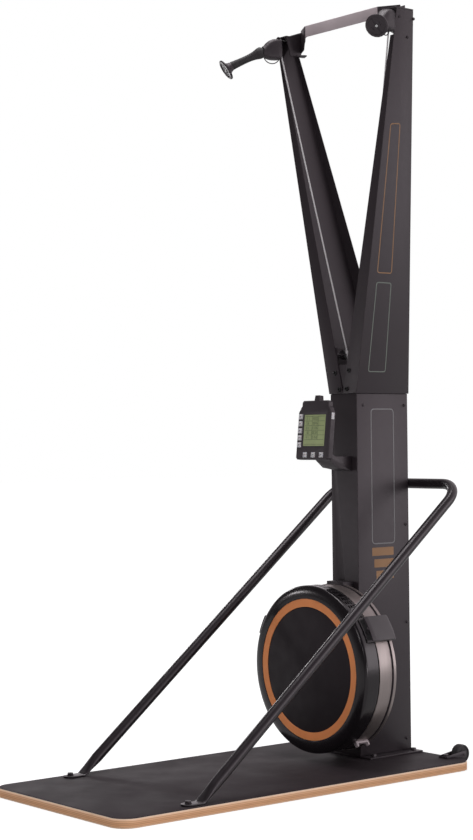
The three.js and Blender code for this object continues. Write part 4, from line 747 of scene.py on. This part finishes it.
shoulder = []
for k in range(SHOULDER_STEPS + 1):
    a = math.pi / 2 * k / SHOULDER_STEPS
    shoulder.append((LIP_RADIUS + SHOULDER_WIDE * math.sin(a), SHOULDER_BACK - SHOULDER_DEEP * math.cos(a)))
cover_outline = [(0, FACE_Y), (FACE_RADIUS, FACE_Y), (FACE_RADIUS, LIP_Y), *shoulder,
                 (RIM_RADIUS, VENT_FRONT), (RIM_RADIUS, VENT_BACK), (RIM_RADIUS, COVER_BACK)]
cover = turned("cover_shell", cover_outline, COVER_STEPS, AXLE)
editing(cover, "DESELECT")
cover_mesh = bmesh.from_edit_mesh(cover.data)
cover_mesh.select_mode = {"FACE"}
for face in cover_mesh.faces:
    middle = face.calc_center_median() - AXLE
    on_wall = middle.xz.length > (RIM_RADIUS - 0.5) * MM and VENT_FRONT * MM < middle.y < VENT_BACK * MM
    face.select_set(on_wall and abs(math.degrees(math.atan2(middle.x, middle.z))) < VENT_HALF_ANGLE)
bmesh.update_edit_mesh(cover.data)
bpy.ops.mesh.delete(type="FACE")
done_editing()
if min(cover.data.polygons, key=lambda face: face.center.xz.length).normal.y > 0:
    editing(cover)
    bpy.ops.mesh.flip_normals()
    done_editing()
thickened(cover, 3, -1)
rounded_edges(cover, 0.7, 3, 40)


def round_rim(name, outline, middle, half):
    """An outline of (radius, y) turned through a small angle round the axle."""
    start = Vector((math.cos(middle + half), 0, math.sin(middle + half)))
    return turned(name, [(r, -y) for r, y in outline], 10, AXLE, -FORWARD, start, half * 2)


BOSS_ANGLE, BOSS_HALF = math.radians(153), math.radians(7)
BOSS_OUTLINE = [(237, 271), (252, 271), (252, 300), (237, 300), (237, 271)]
boss = rounded_edges(round_rim("cover_boss", BOSS_OUTLINE, BOSS_ANGLE, BOSS_HALF), 2.5, 4)
fitted(joined("cover_shell", [cover, boss]), "frame", "gloss_black", stands_for=["front_cover"])

RING_OUTLINE = [(179, 257.7), (179, 255.7), (202, 255.7), (202, 257.7), (179, 257.7)]
PANEL_OUTLINE = [(0, 256.2), (176.5, 256.2), (178.7, 257.2), (178.7, 257.7), (0, 257.7)]
TRIM_OUTLINE = [(239.6, 364.2), (240.35, 364.2), (240.35, 373.4), (239.6, 373.4), (239.6, 364.2)]
ring = turned("orange_ring", RING_OUTLINE, COVER_STEPS, AXLE)
fitted(rounded_edges(ring, 0.6, 3), "frame", "accent_orange", stands_for=["accent_ring"])
panel = turned("face_panel", PANEL_OUTLINE, COVER_STEPS, AXLE)
fitted(rounded_edges(panel, 0.3), "frame", "black_plastic", face_panel, ["centre_panel"])
fitted(turned("rim_trim", TRIM_OUTLINE, COVER_STEPS, AXLE), "frame", "brushed")
print("ring, panel and rim trim are on the cover")

# %% [markdown]
# ## Stay tube
# One tube is bent twice and its ends are pressed flat and bolted to the platform. A round section drawn
# along the bent path gives the tube. Each foot is then drawn out of the tube's open end ring by ring, while
# the ring turns from a circle into a flat plate with a round nose, just as the press does it.

# %% Bent tube with pressed feet
TUBE_RADIUS, TUBE_SIDES = 15, 28
FOOT_X, FOOT_Y, FOOT_Z = 265, -298, 69
BEND_X, BEND_Y, BEND_Z, BEND_RADIUS = 256, 629, 813.8, 78
PRESS_Y, PRESS_Z, PRESS_HALF, PRESS_POWER = -349.3, 27.8, 2.5, 0.45
PRESS_STATIONS = [  # share of the way, half width, half height, squareness
    (0.0, 15.0, 15.0, 1.0), (0.3, 15.8, 12.2, 0.95), (0.6, 17.6, 7.6, 0.8), (0.85, 19.4, 4.0, 0.6),
    (1.0, 20.0, PRESS_HALF, PRESS_POWER)]
NOSE_STATIONS = [(-368, 20.0), (-387.3, 20.0), (-395, 18.4), (-401, 14.6), (-405.4, 8.6), (-407.2, 2.5)]
stay_path = rounded_path([(-FOOT_X, FOOT_Y, FOOT_Z), (-BEND_X, BEND_Y, BEND_Z), (BEND_X, BEND_Y, BEND_Z),
                          (FOOT_X, FOOT_Y, FOOT_Z)], BEND_RADIUS, 14)
stay = tube_along("bent_stay", stay_path, TUBE_RADIUS, TUBE_SIDES, caps=False)


def unswollen(value, half, power):
    """The cosine or sine of a ring's vertex, from how far it lies off the middle."""
    return signed_power(max(-1, min(1, value / (half * MM))), 1 / power)


def pressed_foot(side):
    """Draw the tube's open end into its flat foot."""
    start, press = point(side * FOOT_X, FOOT_Y, FOOT_Z), point(side * FOOT_X, PRESS_Y, PRESS_Z)
    run = (start - point(side * BEND_X, BEND_Y, BEND_Z)).normalized()
    lift = Vector((0, run.z, -run.y)).normalized()
    stations = [(start.lerp(press, share), wide, tall, power, lift if share < 1 else UP)
                for share, wide, tall, power in PRESS_STATIONS]
    stations += [(point(side * FOOT_X, y, PRESS_Z), wide, PRESS_HALF, PRESS_POWER, UP) for y, wide in NOSE_STATIONS]
    editing(stay, "DESELECT")
    mesh = bmesh.from_edit_mesh(stay.data)
    for spot in mesh.verts:
        offset = spot.co - start
        spot.select_set(offset.length < (TUBE_RADIUS + 1) * MM and abs(offset.dot(run)) < 0.5 * MM)
    mesh.select_flush_mode()
    bmesh.update_edit_mesh(stay.data)
    for (old_centre, old_wide, old_tall, old_power, old_up), station in zip(stations, stations[1:]):
        centre, wide, tall, power, up = station
        bpy.ops.mesh.extrude_region_move()
        mesh = bmesh.from_edit_mesh(stay.data)
        for spot in (spot for spot in mesh.verts if spot.select):
            offset = spot.co - old_centre
            angle = math.atan2(unswollen(offset.dot(old_up), old_tall, old_power),
                               unswollen(offset.x, old_wide, old_power))
            spot.co = centre + RIGHT * signed_power(math.cos(angle), power) * wide * MM
            spot.co += up * signed_power(math.sin(angle), power) * tall * MM
        bmesh.update_edit_mesh(stay.data)
    bpy.ops.mesh.edge_face_add()
    faced_out()
    done_editing()


for side in SIDES:
    pressed_foot(side)
fitted(smoothed(stay, 50), "frame", "black_steel", tube_satin, ["stay_tube"])
print("stay tube faces", len(stay.data.polygons))

# %% [markdown]
# ## Bolts and screws
# Hexagon bolts hold the foot plates, and small domed screws with a socket close the column and the arms.
# One head is shaped upright at the origin, where the operators are simple, and then set on its seat.

# %% Fastener heads
WASHER_THICK, WASHER_SHARE = 1.2, 0.66
JOINT_HEIGHT, ARM_FOOT_X = 1080, 59
ARM_SLOPE = 202 / 1080


def turned_upright(name, profile, steps=28):
    return turned(name, profile, steps, Vector(), UP)


def hex_head(across, tall):
    """A hexagon head on its washer, upright at the origin."""
    head = started("hexagon", bpy.ops.mesh.primitive_cylinder_add, vertices=6, radius=across / math.sqrt(3) * MM,
                   depth=tall * MM, location=(0, 0, (tall / 2 + WASHER_THICK) * MM))
    bpy.ops.object.transform_apply(location=True, rotation=True, scale=True)
    rounded_edges(head, 0.9)
    wide = across * WASHER_SHARE
    washer = turned_upright("washer", [(0, 0), (wide, 0), (wide, WASHER_THICK), (0, WASHER_THICK)])
    return joined("hex_head", [head, rounded_edges(washer, 0.3)])


def domed_head(radius, rise):
    """A domed screw head with a round socket, upright at the origin."""
    socket = rise * 0.35
    dome = [(0, 0), (radius, 0), (radius, socket), (radius * 0.86, rise * 0.78), (radius * 0.55, rise),
            (radius * 0.42, rise), (radius * 0.40, socket), (0, socket)]
    return smoothed(turned_upright("domed_head", dome, 18), 40)


def on_seats(name, make, size, seats, body="frame", slot="black_steel", finish=None):
    """One head of that size on each seat, which is a place in millimetres and the way that it faces."""
    heads = []
    for place, way in seats:
        turn_up = Vector(way).normalized().to_track_quat("Z", "Y").to_matrix().to_4x4()
        heads.append(settle(make(*size), Matrix.Translation(point(*place)) @ turn_up))
    print(name, len(seats))
    return fitted(joined(name, heads), body, slot, finish)


def arm_side(y, z):
    """A seat on the sloping outer face of the right arm."""
    return (ARM_FOOT_X + ARM_SLOPE * (z - JOINT_HEIGHT), y, z), (1, 0, -ARM_SLOPE)


def mirrored_seats(seats):
    """The seats and their twins on the other side."""
    return seats + [((-x, y, z), (-nx, ny, nz)) for (x, y, z), (nx, ny, nz) in seats]


FOOT_BOLT_Y, FOOT_BOLT_Z = -387.3, 30.3
COLUMN_SIDE_X, JOINT_FACE_Y = 56, 401.2
COLUMN_SCREWS = [(430, 1046), (596, 1046), (598, 694), (598, 405), (592, 63)]
JOINT_SCREWS = [(-30, 1141), (29, 1147), (-13, 1092), (18, 1094)]
ARM_SCREWS = [(400, 2138), (440, 2086), (455, 2138)]
on_seats("foot_bolts", hex_head, (15, 6), [((side * FOOT_X, FOOT_BOLT_Y, FOOT_BOLT_Z), (0, 0, 1)) for side in SIDES])
on_seats("column_screws", domed_head, (4.6, 2.6),
         mirrored_seats([((COLUMN_SIDE_X, y, z), (1, 0, 0)) for y, z in COLUMN_SCREWS]))
on_seats("joint_screws", domed_head, (7.0, 4.0), [((x, JOINT_FACE_Y, z), (0, -1, 0)) for x, z in JOINT_SCREWS],
         slot="black_plastic", finish=bolt_black)
on_seats("arm_top_screws", domed_head, (4.4, 2.6), mirrored_seats([arm_side(y, z) for y, z in ARM_SCREWS]))

# %% [markdown]
# ## Crossbar
# A flat bar joins the two arm tops, set forward in the middle by a bend at each end. Its plan line, with
# rounded bends, is drawn up to the bar's height and thickened, which keeps one wall round every bend.

# %% Flat bar on edge
BAR_PLAN = [(-212.7, 447.6, 2153), (-154, 412, 2153), (154, 412, 2153), (212.7, 447.6, 2153)]
BAR_TALL, BAR_THICK = 33, 5
bar = chain("bent_crossbar", rounded_path(BAR_PLAN, 10, 5))
bpy.ops.mesh.extrude_region_move(TRANSFORM_OT_translate={"value": point(0, 0, BAR_TALL)})
done_editing()
fitted(rounded_edges(thickened(bar, BAR_THICK), 1.2, 3), "frame", "grey_paint", stands_for=["crossbar"])
print("crossbar", [round(v / MM) for v in bar.dimensions])

# %% [markdown]
# ## Handles
# Each handle is a waisted rubber grip with a flared disc on its end. The grip is turned from a smooth
# outline through a row of radii, with shallow rings where the palm lies. The disc keeps its slot and gets a
# pale screw in the middle.

# %% Grips and disc screws
DIP = {-1: 23.3, 1: 16.0}
HEAD_X, HEAD_Y, HEAD_Z, HEAD_SWING = 237, 379, 2125, 18.9
GRIP_FORWARD, MOUTH_Z, GRIP_SWING = 55.6, -10, 25
GRIP_LENGTH, GRIP_STEPS = 103, 40
DISC_SWING, DISC_DIP, DISC_DEPTH = 9, 11.5, 22
GRIP_STOPS = [(5.5, -5.5), (9.6, -4.6), (12.6, -2.6), (14.0, -0.2), (15.4, 1.8), (17, 4.5), (17, 12.5),
              (15.2, 20), (12.65, 31), (11.2, 46), (11, 62), (11.8, 83), (13, GRIP_LENGTH)]
GRIP_BALL_END = -5.9
RING_EVERY, RING_DEPTH, RINGS_FROM, RINGS_TO = 7.0, 0.45, 24, 96


def head_place(side):
    """The frame of one arm head, with its forward axis towards the user."""
    swing = Matrix.Rotation(math.pi + side * math.radians(HEAD_SWING), 4, "Z")
    return Matrix.Translation(point(side * HEAD_X, HEAD_Y, HEAD_Z)) @ swing


def turned_in(side, swing, dip):
    """Turned to the middle by one angle and tipped down by another."""
    return Matrix.Rotation(side * math.radians(swing), 4, "Z") @ Matrix.Rotation(-math.radians(dip), 4, "X")


def grip_place(side):
    start = Matrix.Translation(point(0, GRIP_FORWARD, MOUTH_Z))
    return head_place(side) @ start @ turned_in(side, GRIP_SWING, DIP[side])


def disc_place(side):
    start = Matrix.Translation(grip_place(side) @ point(0, GRIP_LENGTH, 0))
    return start @ head_place(side).to_3x3().to_4x4() @ turned_in(side, DISC_SWING, DIP[side] + DISC_DIP)


def curve_through(stops, steps):
    """A smooth outline through (radius, along) stops."""
    ends = [stops[0], *stops, stops[-1]]
    outline = []
    for before, start, end, after in zip(ends, ends[1:], ends[2:], ends[3:]):
        for k in range(steps):
            t = k / steps
            outline.append(tuple(
                0.5 * (2 * b + (c - a) * t + (2 * a - 5 * b + 4 * c - d) * t * t + (3 * b - a - 3 * c + d) * t ** 3)
                for a, b, c, d in zip(before, start, end, after)))
    return [*outline, stops[-1]]


for side, name in SIDES.items():
    place, disc = grip_place(side), disc_place(side)
    outline = [(r - RING_DEPTH * max(0, math.cos(math.tau * a / RING_EVERY)) ** 6 * (RINGS_FROM < a < RINGS_TO), a)
               for r, a in curve_through(GRIP_STOPS, 14)]
    grip = turned(name + "_rubber_grip", [(0, GRIP_BALL_END), *outline, (0, GRIP_LENGTH)], GRIP_STEPS,
                  place.translation, place.to_3x3() @ FORWARD, place.to_3x3() @ RIGHT)
    fitted(grip, name + "_handle", "grip_rubber", stands_for=[name + "_grip"])
    seat = disc @ point(0, DISC_DEPTH, 0)
    on_seats(name + "_disc_screw", domed_head, (4.2, 2.0), [(tuple(seat / MM), tuple(disc.to_3x3() @ FORWARD))],
             name + "_handle", "bright_steel")

# %% [markdown]
# ## Pulley hoods
# A moulded hood covers each top pulley. It is as tall as the arm's head at the back and narrows in a smooth
# curve to the round mouth where the grip's neck rests. A ring drawn through a few stations gives that
# change from a rounded square to a circle, and the last two stations go back inside to form the mouth.

# %% Hoods
HOOD_STATIONS = [  # forward, half width, top, bottom, squareness
    (0.3, 19.6, 28.4, -29.6, 0.42), (2.0, 20.8, 29.8, -31.0, 0.42), (14, 21.0, 30.2, -32.4, 0.46),
    (26, 21.0, 28.6, -32.8, 0.52), (36, 20.2, 24.2, -32.0, 0.62), (44, 18.8, 18.0, -30.2, 0.75),
    (50, 17.2, 11.6, -28.0, 0.9), (53.6, 16.2, 7.6, -26.6, 1.0), (56.6, 15.6, 5.9, -25.7, 1.0),
    (56.8, 14.6, 4.6, -24.6, 1.0), (51.0, 14.0, 4.0, -24.0, 1.0), (49.4, 9.5, -1.0, -19.0, 1.0)]
for side, name in SIDES.items():
    place = head_place(side)
    swing = place.to_3x3()
    stations = [(place @ point(0, y, (top + bottom) / 2), swing @ point(wide, 0, 0),
                 swing @ point(0, 0, (top - bottom) / 2), power) for y, wide, top, bottom, power in HOOD_STATIONS]
    hood = loft(name + "_hood", stations, 40)
    fitted(hood, "frame", "black_plastic", stands_for=[name + "_pulley_housing"])
print("hood faces", len(hood.data.polygons))
on_seats("hood_bolts", domed_head, (5.0, 5.0), mirrored_seats([((228, 366, 2154.6), (0, 0, 1))]))

# %% [markdown]
# ## Crossbar gussets and painted shade
# A small black plate stands in front of each bend of the crossbar and ties it to the arm's head. It is
# also a dark sheet that paints the shade on the bend. It is a flat plate along the bend's direction with a
# narrower foot, thickened and rounded like the other steel.

# %% Gusset plates, partly painted shade
SHADE_GUSSET_OUT = Vector((0.52, -0.854)) * 3.6
SHADE_GUSSET_NEAR, SHADE_GUSSET_FAR = Vector((155, 413.2)) + SHADE_GUSSET_OUT, Vector((212, 448)) + SHADE_GUSSET_OUT
SHADE_GUSSET_FOOT = SHADE_GUSSET_NEAR.lerp(SHADE_GUSSET_FAR, 0.35)
SHADE_GUSSET_TOP, SHADE_GUSSET_STEP, SHADE_GUSSET_LOW = 2185.6, 2152, 2118
# Each plate is partly a bracket and partly a black sheet that paints the shade on the crossbar's bend.
for side, name in SIDES.items():
    corners = [(SHADE_GUSSET_NEAR, SHADE_GUSSET_TOP), (SHADE_GUSSET_NEAR, SHADE_GUSSET_STEP), (SHADE_GUSSET_FOOT, SHADE_GUSSET_LOW),
               (SHADE_GUSSET_FAR, SHADE_GUSSET_LOW), (SHADE_GUSSET_FAR, SHADE_GUSSET_TOP)]
    shade_gusset = chain(name + "_gusset", [point(side * plan.x, plan.y, z) for plan, z in corners])
    bpy.ops.mesh.edge_face_add()
    done_editing()
    fitted(rounded_edges(thickened(shade_gusset, 2.5), 0.6), "frame", "black_steel")
print("gussets", len(shade_gusset.data.polygons))

# %% [markdown]
# ## Ropes
# Each rope leaves its drum, turns over the idler in the joint, runs up along the arm's inner side and over
# the top pulley. It is drawn as one tube along that route. A short stub of the same rope is drawn down
# inside the grip's neck.

# %% Rope runs and stubs
ROPE_RADIUS = 2.3
ROPE_X, ROPE_Y = 18, {-1: 440, 1: 464}
IDLER_X, IDLER_Z, IDLER_RADIUS, IDLER_LEAN = 32.4, 1195, 14.4, math.atan2(219, 930)
PULLEY_RADIUS, MOUTH_Y = 21.6, 53.3
SLIDE = Vector((0, -0.29, -0.957)).normalized()
STUB_LENGTH, STUB_STEPS = 12, 30


def rope_route(side):
    """The rope's middle line in metres."""
    y, head = ROPE_Y[side], head_place(side)
    route = [point(side * ROPE_X, y, z) for z in (AXLE_HEIGHT, IDLER_Z)]
    for k in range(1, 7):
        lean = IDLER_LEAN * k / 6
        route.append(point(side * (IDLER_X - IDLER_RADIUS * math.cos(lean)), y,
                           IDLER_Z + IDLER_RADIUS * math.sin(lean)))
    ahead_of_axle = MOUTH_Y - PULLEY_RADIUS
    wrap = (math.pi - math.atan2(MOUTH_Z, ahead_of_axle)
            - math.acos(PULLEY_RADIUS / math.hypot(ahead_of_axle, MOUTH_Z)))
    for k in range(19):
        a = wrap * k / 18
        route.append(head @ point(0, PULLEY_RADIUS - PULLEY_RADIUS * math.cos(a), PULLEY_RADIUS * math.sin(a)))
    return [*route, head @ point(0, MOUTH_Y, MOUTH_Z)]


for side, name in SIDES.items():
    rope = tube_along(name + "_braided_rope", rope_route(side), ROPE_RADIUS, 14)
    fitted(rope, "frame", "rope", stands_for=[name + "_rope"])
    top = head_place(side) @ point(0, GRIP_FORWARD, -8)
    stub_route = [top + SLIDE * (STUB_LENGTH * MM * k / STUB_STEPS) for k in range(STUB_STEPS + 1)]
    stub = tube_along(name + "_rope_stub", stub_route, ROPE_RADIUS, 12)
    dress(stub, rope_braid)
    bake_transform(stub)
print("ropes", ROPE_RADIUS)

# %% [markdown]
# ## Transport wheels
# Two solid rubber wheels at the platform's rear edge touch the floor when the machine is tipped. Each is
# turned with a rounded tread, a shallow groove in its middle and a recessed hub.

# %% Tyres and hubs
WHEEL_X, WHEEL_Y, WHEEL_Z = 216, 650, 31
HALF_WHEEL = [(0, -9.5), (8, -9.5), (8.8, -12.6), (12.6, -12.6), (13.4, -9.8), (20.5, -9.8), (22.5, -12.6),
              (25.2, -11.8), (26.7, -9), (27, -5), (27, -1.4), (25.9, -0.6)]
wheel_outline = HALF_WHEEL + [(r, -a) for r, a in reversed(HALF_WHEEL)]
for side, name in SIDES.items():
    wheel = turned(name + "_rubber_wheel", wheel_outline, 56, point(side * WHEEL_X, WHEEL_Y, WHEEL_Z), RIGHT, UP)
    fitted(rounded_edges(wheel, 0.4), name + "_wheel", "grip_rubber", stands_for=[name + "_transport_wheel"])
print("wheels", len(wheel.data.polygons))

# %% [markdown]
# ## Display and keys
# The display shows a table of thin lines with seven-bar digits, as any crystal display does when it is lit
# from the front. The lines are printed just above the panel, and each key carries a small grey mark.

# %% Display table
CONSOLE = Matrix.Translation(point(0, 296, 974)) @ Matrix.Rotation(math.radians(-6), 4, "X")
TABLE_FACE, MARK_FACE, SURROUND_FACE = -9.78, -12.1, -10.06
DIGIT_BARS = {0: "abcdef", 1: "bc", 2: "abged", 3: "abgcd", 4: "fgbc", 5: "afgcd", 6: "afgcde", 7: "abc",
              8: "abcdefg", 9: "abcdfg"}
DIGIT_LINE, WIDE_DIGIT, SMALL_DIGIT = 0.9, 4.3, 4.2


def digit(value, left, low, wide, tall):
    """The bars of one digit as (left, low, right, high)."""
    line = DIGIT_LINE
    right, high, middle = left + wide, low + tall, low + tall / 2
    bars = {"a": (left, high - line, right, high), "d": (left, low, right, low + line),
            "g": (left, middle - line / 2, right, middle + line / 2),
            "f": (left, middle, left + line, high), "b": (right - line, middle, right, high),
            "e": (left, low, left + line, middle), "c": (right - line, low, right, middle)}
    return [bars[name] for name in DIGIT_BARS[value]]


def printed(name, bars, depth, body, slot, finish, place=CONSOLE, wall=0.12):
    """Thin bars on a face: each is (left, low, right, high) in millimetres of that face."""
    made = []
    for left, low, right, high in bars:
        plane = started(name, bpy.ops.mesh.primitive_plane_add, size=1)
        spread = Matrix.Diagonal(((right - left) * MM, (high - low) * MM, 1, 1))
        middle = Matrix.Translation(point((left + right) / 2, depth, (low + high) / 2))
        made.append(settle(plane, place @ middle @ Matrix.Rotation(math.pi / 2, 4, "X") @ spread))
    print(name, len(bars), "bars")
    return fitted(thickened(joined(name, made), wall), body, slot, finish)


TABLE_LEFT, TABLE_RIGHT, TABLE_LOW, TABLE_HIGH = -37.5, 45.5, -41.5, 39.5
ROW = (TABLE_HIGH - TABLE_LOW) / 6
COLUMN_SHARES = (0.36, 0.68)
READINGS = ("2000", "0845", "0126", "0032", "0158")
table = [(TABLE_LEFT, TABLE_LOW + k * ROW - 0.5, TABLE_RIGHT, TABLE_LOW + k * ROW + 0.5) for k in range(7)]
for share in COLUMN_SHARES:
    column_x = TABLE_LEFT + (TABLE_RIGHT - TABLE_LEFT) * share
    table.append((column_x - 0.4, TABLE_LOW + ROW, column_x + 0.4, TABLE_HIGH))
for row, reading in enumerate(READINGS):
    base = TABLE_HIGH - (row + 1) * ROW + 3
    for place_no, value in enumerate(reading):
        table += digit(int(value), TABLE_LEFT + 32 + place_no * 6.0, base, WIDE_DIGIT, ROW - 6)
    table += digit((row * 3 + 2) % 10, TABLE_LEFT + 6, base, SMALL_DIGIT, ROW - 6)
    table += digit((row * 5 + 1) % 10, TABLE_LEFT + 12.5, base, SMALL_DIGIT, ROW - 6)
printed("display_table", table, TABLE_FACE, "console", "screen", display_ink)

# %% [markdown]
# ### Key marks
# Each key stands in a thin pale surround on the case and carries two short bars. Both are given from the
# middle of a key and then shifted to every key of the row.

# %% Key marks and surrounds
KEYS ={"side": [(-58, 39 - 20.5 * k) for k in range(5)], "low": [(-30 + 35 * k, -72) for k in range(3)]}
MARKS = {"side": [(-3, -0.2, 3, 1.6), (-3, -3, 0.5, -1.8)], "low": [(-4, 0.5, 4, 2), (-4, -3, 0, -1.6)]}
SURROUND = [(-8.6, 5.9, 8.6, 7.4), (-8.6, -7.4, 8.6, -5.9), (-8.6, -5.9, -7.1, 5.9), (7.1, -5.9, 8.6, 5.9)]


def round_key(bars, x, z):
    """Bars that are given from the middle of their key."""
    return [(x + left, z + low, x + right, z + high) for left, low, right, high in bars]


surrounds = []
for row, places in KEYS.items():
    for number, (x, z) in enumerate(places, 1):
        printed(f"{row}_mark_{number}", round_key(MARKS[row], x, z), MARK_FACE, f"{row}_button_{number}",
                "button_white", mark_ink)
        surrounds += round_key(SURROUND, x, z)
printed("key_surrounds", surrounds, SURROUND_FACE, "console", "button_white", key_rubber)
# A small pale patch is printed on the right side of the case, where a bright spot shows.
CASE_SIDE = CONSOLE @ Matrix.Translation(point(70, 0, 0)) @ Matrix.Rotation(math.pi / 2, 4, "Z")
printed("pale_side_patch", [(-6, 31, 4, 50)], -0.3, "console", "button_white", key_rubber, CASE_SIDE, 0.8)

# %% [markdown]
# ## Resistance lever
# The lever is a saddle that rides round the rim. Its grey top runs forward over the vent and slopes down to
# a dark thumb pad with a round button. The outline is turned through the lever's small angle, so its top
# follows the rim, and the packed block with its link to the magnets stays inside.

# %% Saddle, pad and button
LEVER_ANGLE, LEVER_HALF = math.radians(31), math.radians(8.6)
SADDLE = [(240.7, 280), (243.2, 279), (252.6, 296.6), (255.0, 301), (255.2, 306), (255.2, 372), (254.2, 378),
          (250.6, 382), (244.5, 383.4), (240.7, 383.4), (240.7, 280)]
PAD = [(243.7, 280.8), (244.6, 280.4), (252.9, 295.9), (252.2, 296.6), (243.7, 280.8)]
PAD_SHARE = 0.86
PAD_OUTWARD, PAD_TO_USER = 0.88, 0.47
BUTTON = [(0, 1.4), (3.6, 1.4), (4.0, 2.4), (5.2, 2.4), (5.8, 1.6), (5.8, -1), (0, -1)]
saddle = round_rim("lever_saddle", SADDLE, LEVER_ANGLE, LEVER_HALF)
fitted(rounded_edges(saddle, 2.6, 4, 45), "lever", "lever_grey")
pad = round_rim("lever_pad", PAD, LEVER_ANGLE, LEVER_HALF * PAD_SHARE)
fitted(rounded_edges(pad, 0.3, 2, 45), "lever", "black_plastic", bolt_black, ["lever_knob"])


def on_pad(share, radius, y):
    """A place and direction on the sloping pad, at a share of the lever's half angle."""
    a = LEVER_ANGLE + LEVER_HALF * share
    out = Vector((math.cos(a), 0, math.sin(a)))
    return tuple(out * radius + Vector((0, y, AXLE_HEIGHT))), tuple(out * PAD_OUTWARD - FORWARD * PAD_TO_USER)


BUTTON_SEAT, LEVER_SCREW_SEAT = on_pad(-0.18, 248.9, 287.6), on_pad(0.58, 249.2, 288.2)
on_seats("lever_button", turned_upright, ("thumb_button", BUTTON), [BUTTON_SEAT], "lever", "black_plastic",
         gloss_cover)
on_seats("lever_screw", domed_head, (2.4, 0.8), [LEVER_SCREW_SEAT], "lever", "black_plastic", bolt_black)

# %% [markdown]
# ## Rope keepers
# A bent wire below each hood keeps the slack rope from jumping off its pulley. It is a round wire along
# half an ellipse in the hood's own middle plane.

# %% Wire loops
KEEPER_MIDDLE, KEEPER_REACH, KEEPER_TOP, KEEPER_DROP = 27, 25, -22, 22
for side, name in SIDES.items():
    place = head_place(side)
    turns = [math.pi * k / 24 for k in range(25)]
    loop = [place @ point(0, KEEPER_MIDDLE + KEEPER_REACH * math.cos(a), KEEPER_TOP - KEEPER_DROP * math.sin(a))
            for a in turns]
    keeper = fitted(tube_along(name + "_wire_keeper", loop, 1.5, 12), "frame", "black_steel", tube_satin)
print("keepers", len(keeper.data.polygons))

# %% [markdown]
# ## Plain stripes
# Plain stripes in three inks run along the column and the arms. An outlined stripe is a flat face on the
# steel whose middle is inset and removed, so only a thin even line is left. The short bars stay whole.

# %% Outlined stripes and bars
INK = (0.06, 20), (0.45, 0.58, 30)
pale_ink = surface("pale_ink", (0.20, 0.19, 0.20), *INK)
sage_ink = surface("sage_ink", (0.15, 0.17, 0.15), *INK)
tan_ink = surface("tan_ink", (0.30, 0.15, 0.065), *INK)


def stripe(name, corners, finish, round_mm, line=None, slot="accent_orange"):
    """A stripe on the steel, whole or as an outline of the given line width."""
    piece = chain(name, [point(*corner) for corner in corners])
    bpy.ops.mesh.edge_face_add()
    bpy.ops.mesh.bevel(offset=round_mm * MM, segments=4, affect="VERTICES")
    bpy.ops.mesh.select_all(action="SELECT")
    if line:
        bpy.ops.mesh.inset(thickness=line * MM, use_even_offset=True)
        bpy.ops.mesh.delete(type="FACE")
    done_editing()
    print("stripe", name)
    fitted(thickened(piece, 0.3), "frame", slot, finish)


def upright(x, y0, z0, y1, z1):
    """The corners of an upright rectangle on a side face."""
    return [(x, y0, z0), (x, y1, z0), (x, y1, z1), (x, y0, z1)]


COLUMN_OUTLINE = (460, 640, 553, 1036)
BAR_FRONT, BAR_STEP, BAR_BACK = 460, 8, 546
BAR_HEIGHTS = [(606, 630), (572, 596), (538, 562)]
ARM_OUTLINES = [  # part, ink, slot, corners as (y, z)
    ("upper", tan_ink, "accent_orange", [(428, 1425), (487, 1425), (451.6, 1848.9), (412.7, 1845.1)]),
    ("lower", sage_ink, "grey_paint", [(437.6, 1141.6), (508, 1141.6), (490, 1400), (430, 1400)])]
for side, name in SIDES.items():
    x = side * COLUMN_SIDE_X
    stripe(name + "_column_outline", upright(x, *COLUMN_OUTLINE), pale_ink, 12, 3.2, "grey_paint")
    for k, (z0, z1) in enumerate(BAR_HEIGHTS):
        stripe(f"{name}_column_bar_{k + 1}", upright(x, BAR_FRONT + BAR_STEP * k, z0, BAR_BACK, z1), tan_ink, 2)
    for part, ink, slot, outline in ARM_OUTLINES:
        corners = [(side * cx, cy, cz) for (cx, cy, cz), _ in (arm_side(y, z) for y, z in outline)]
        stripe(f"{name}_arm_{part}_outline", corners, ink, 8, 3.0, slot)

# %% [markdown]
# ## Sizes
# A dressed piece should stay close to the box of its packed solid, because a dressed piece that grows past
# its solid could touch what the solid clears.
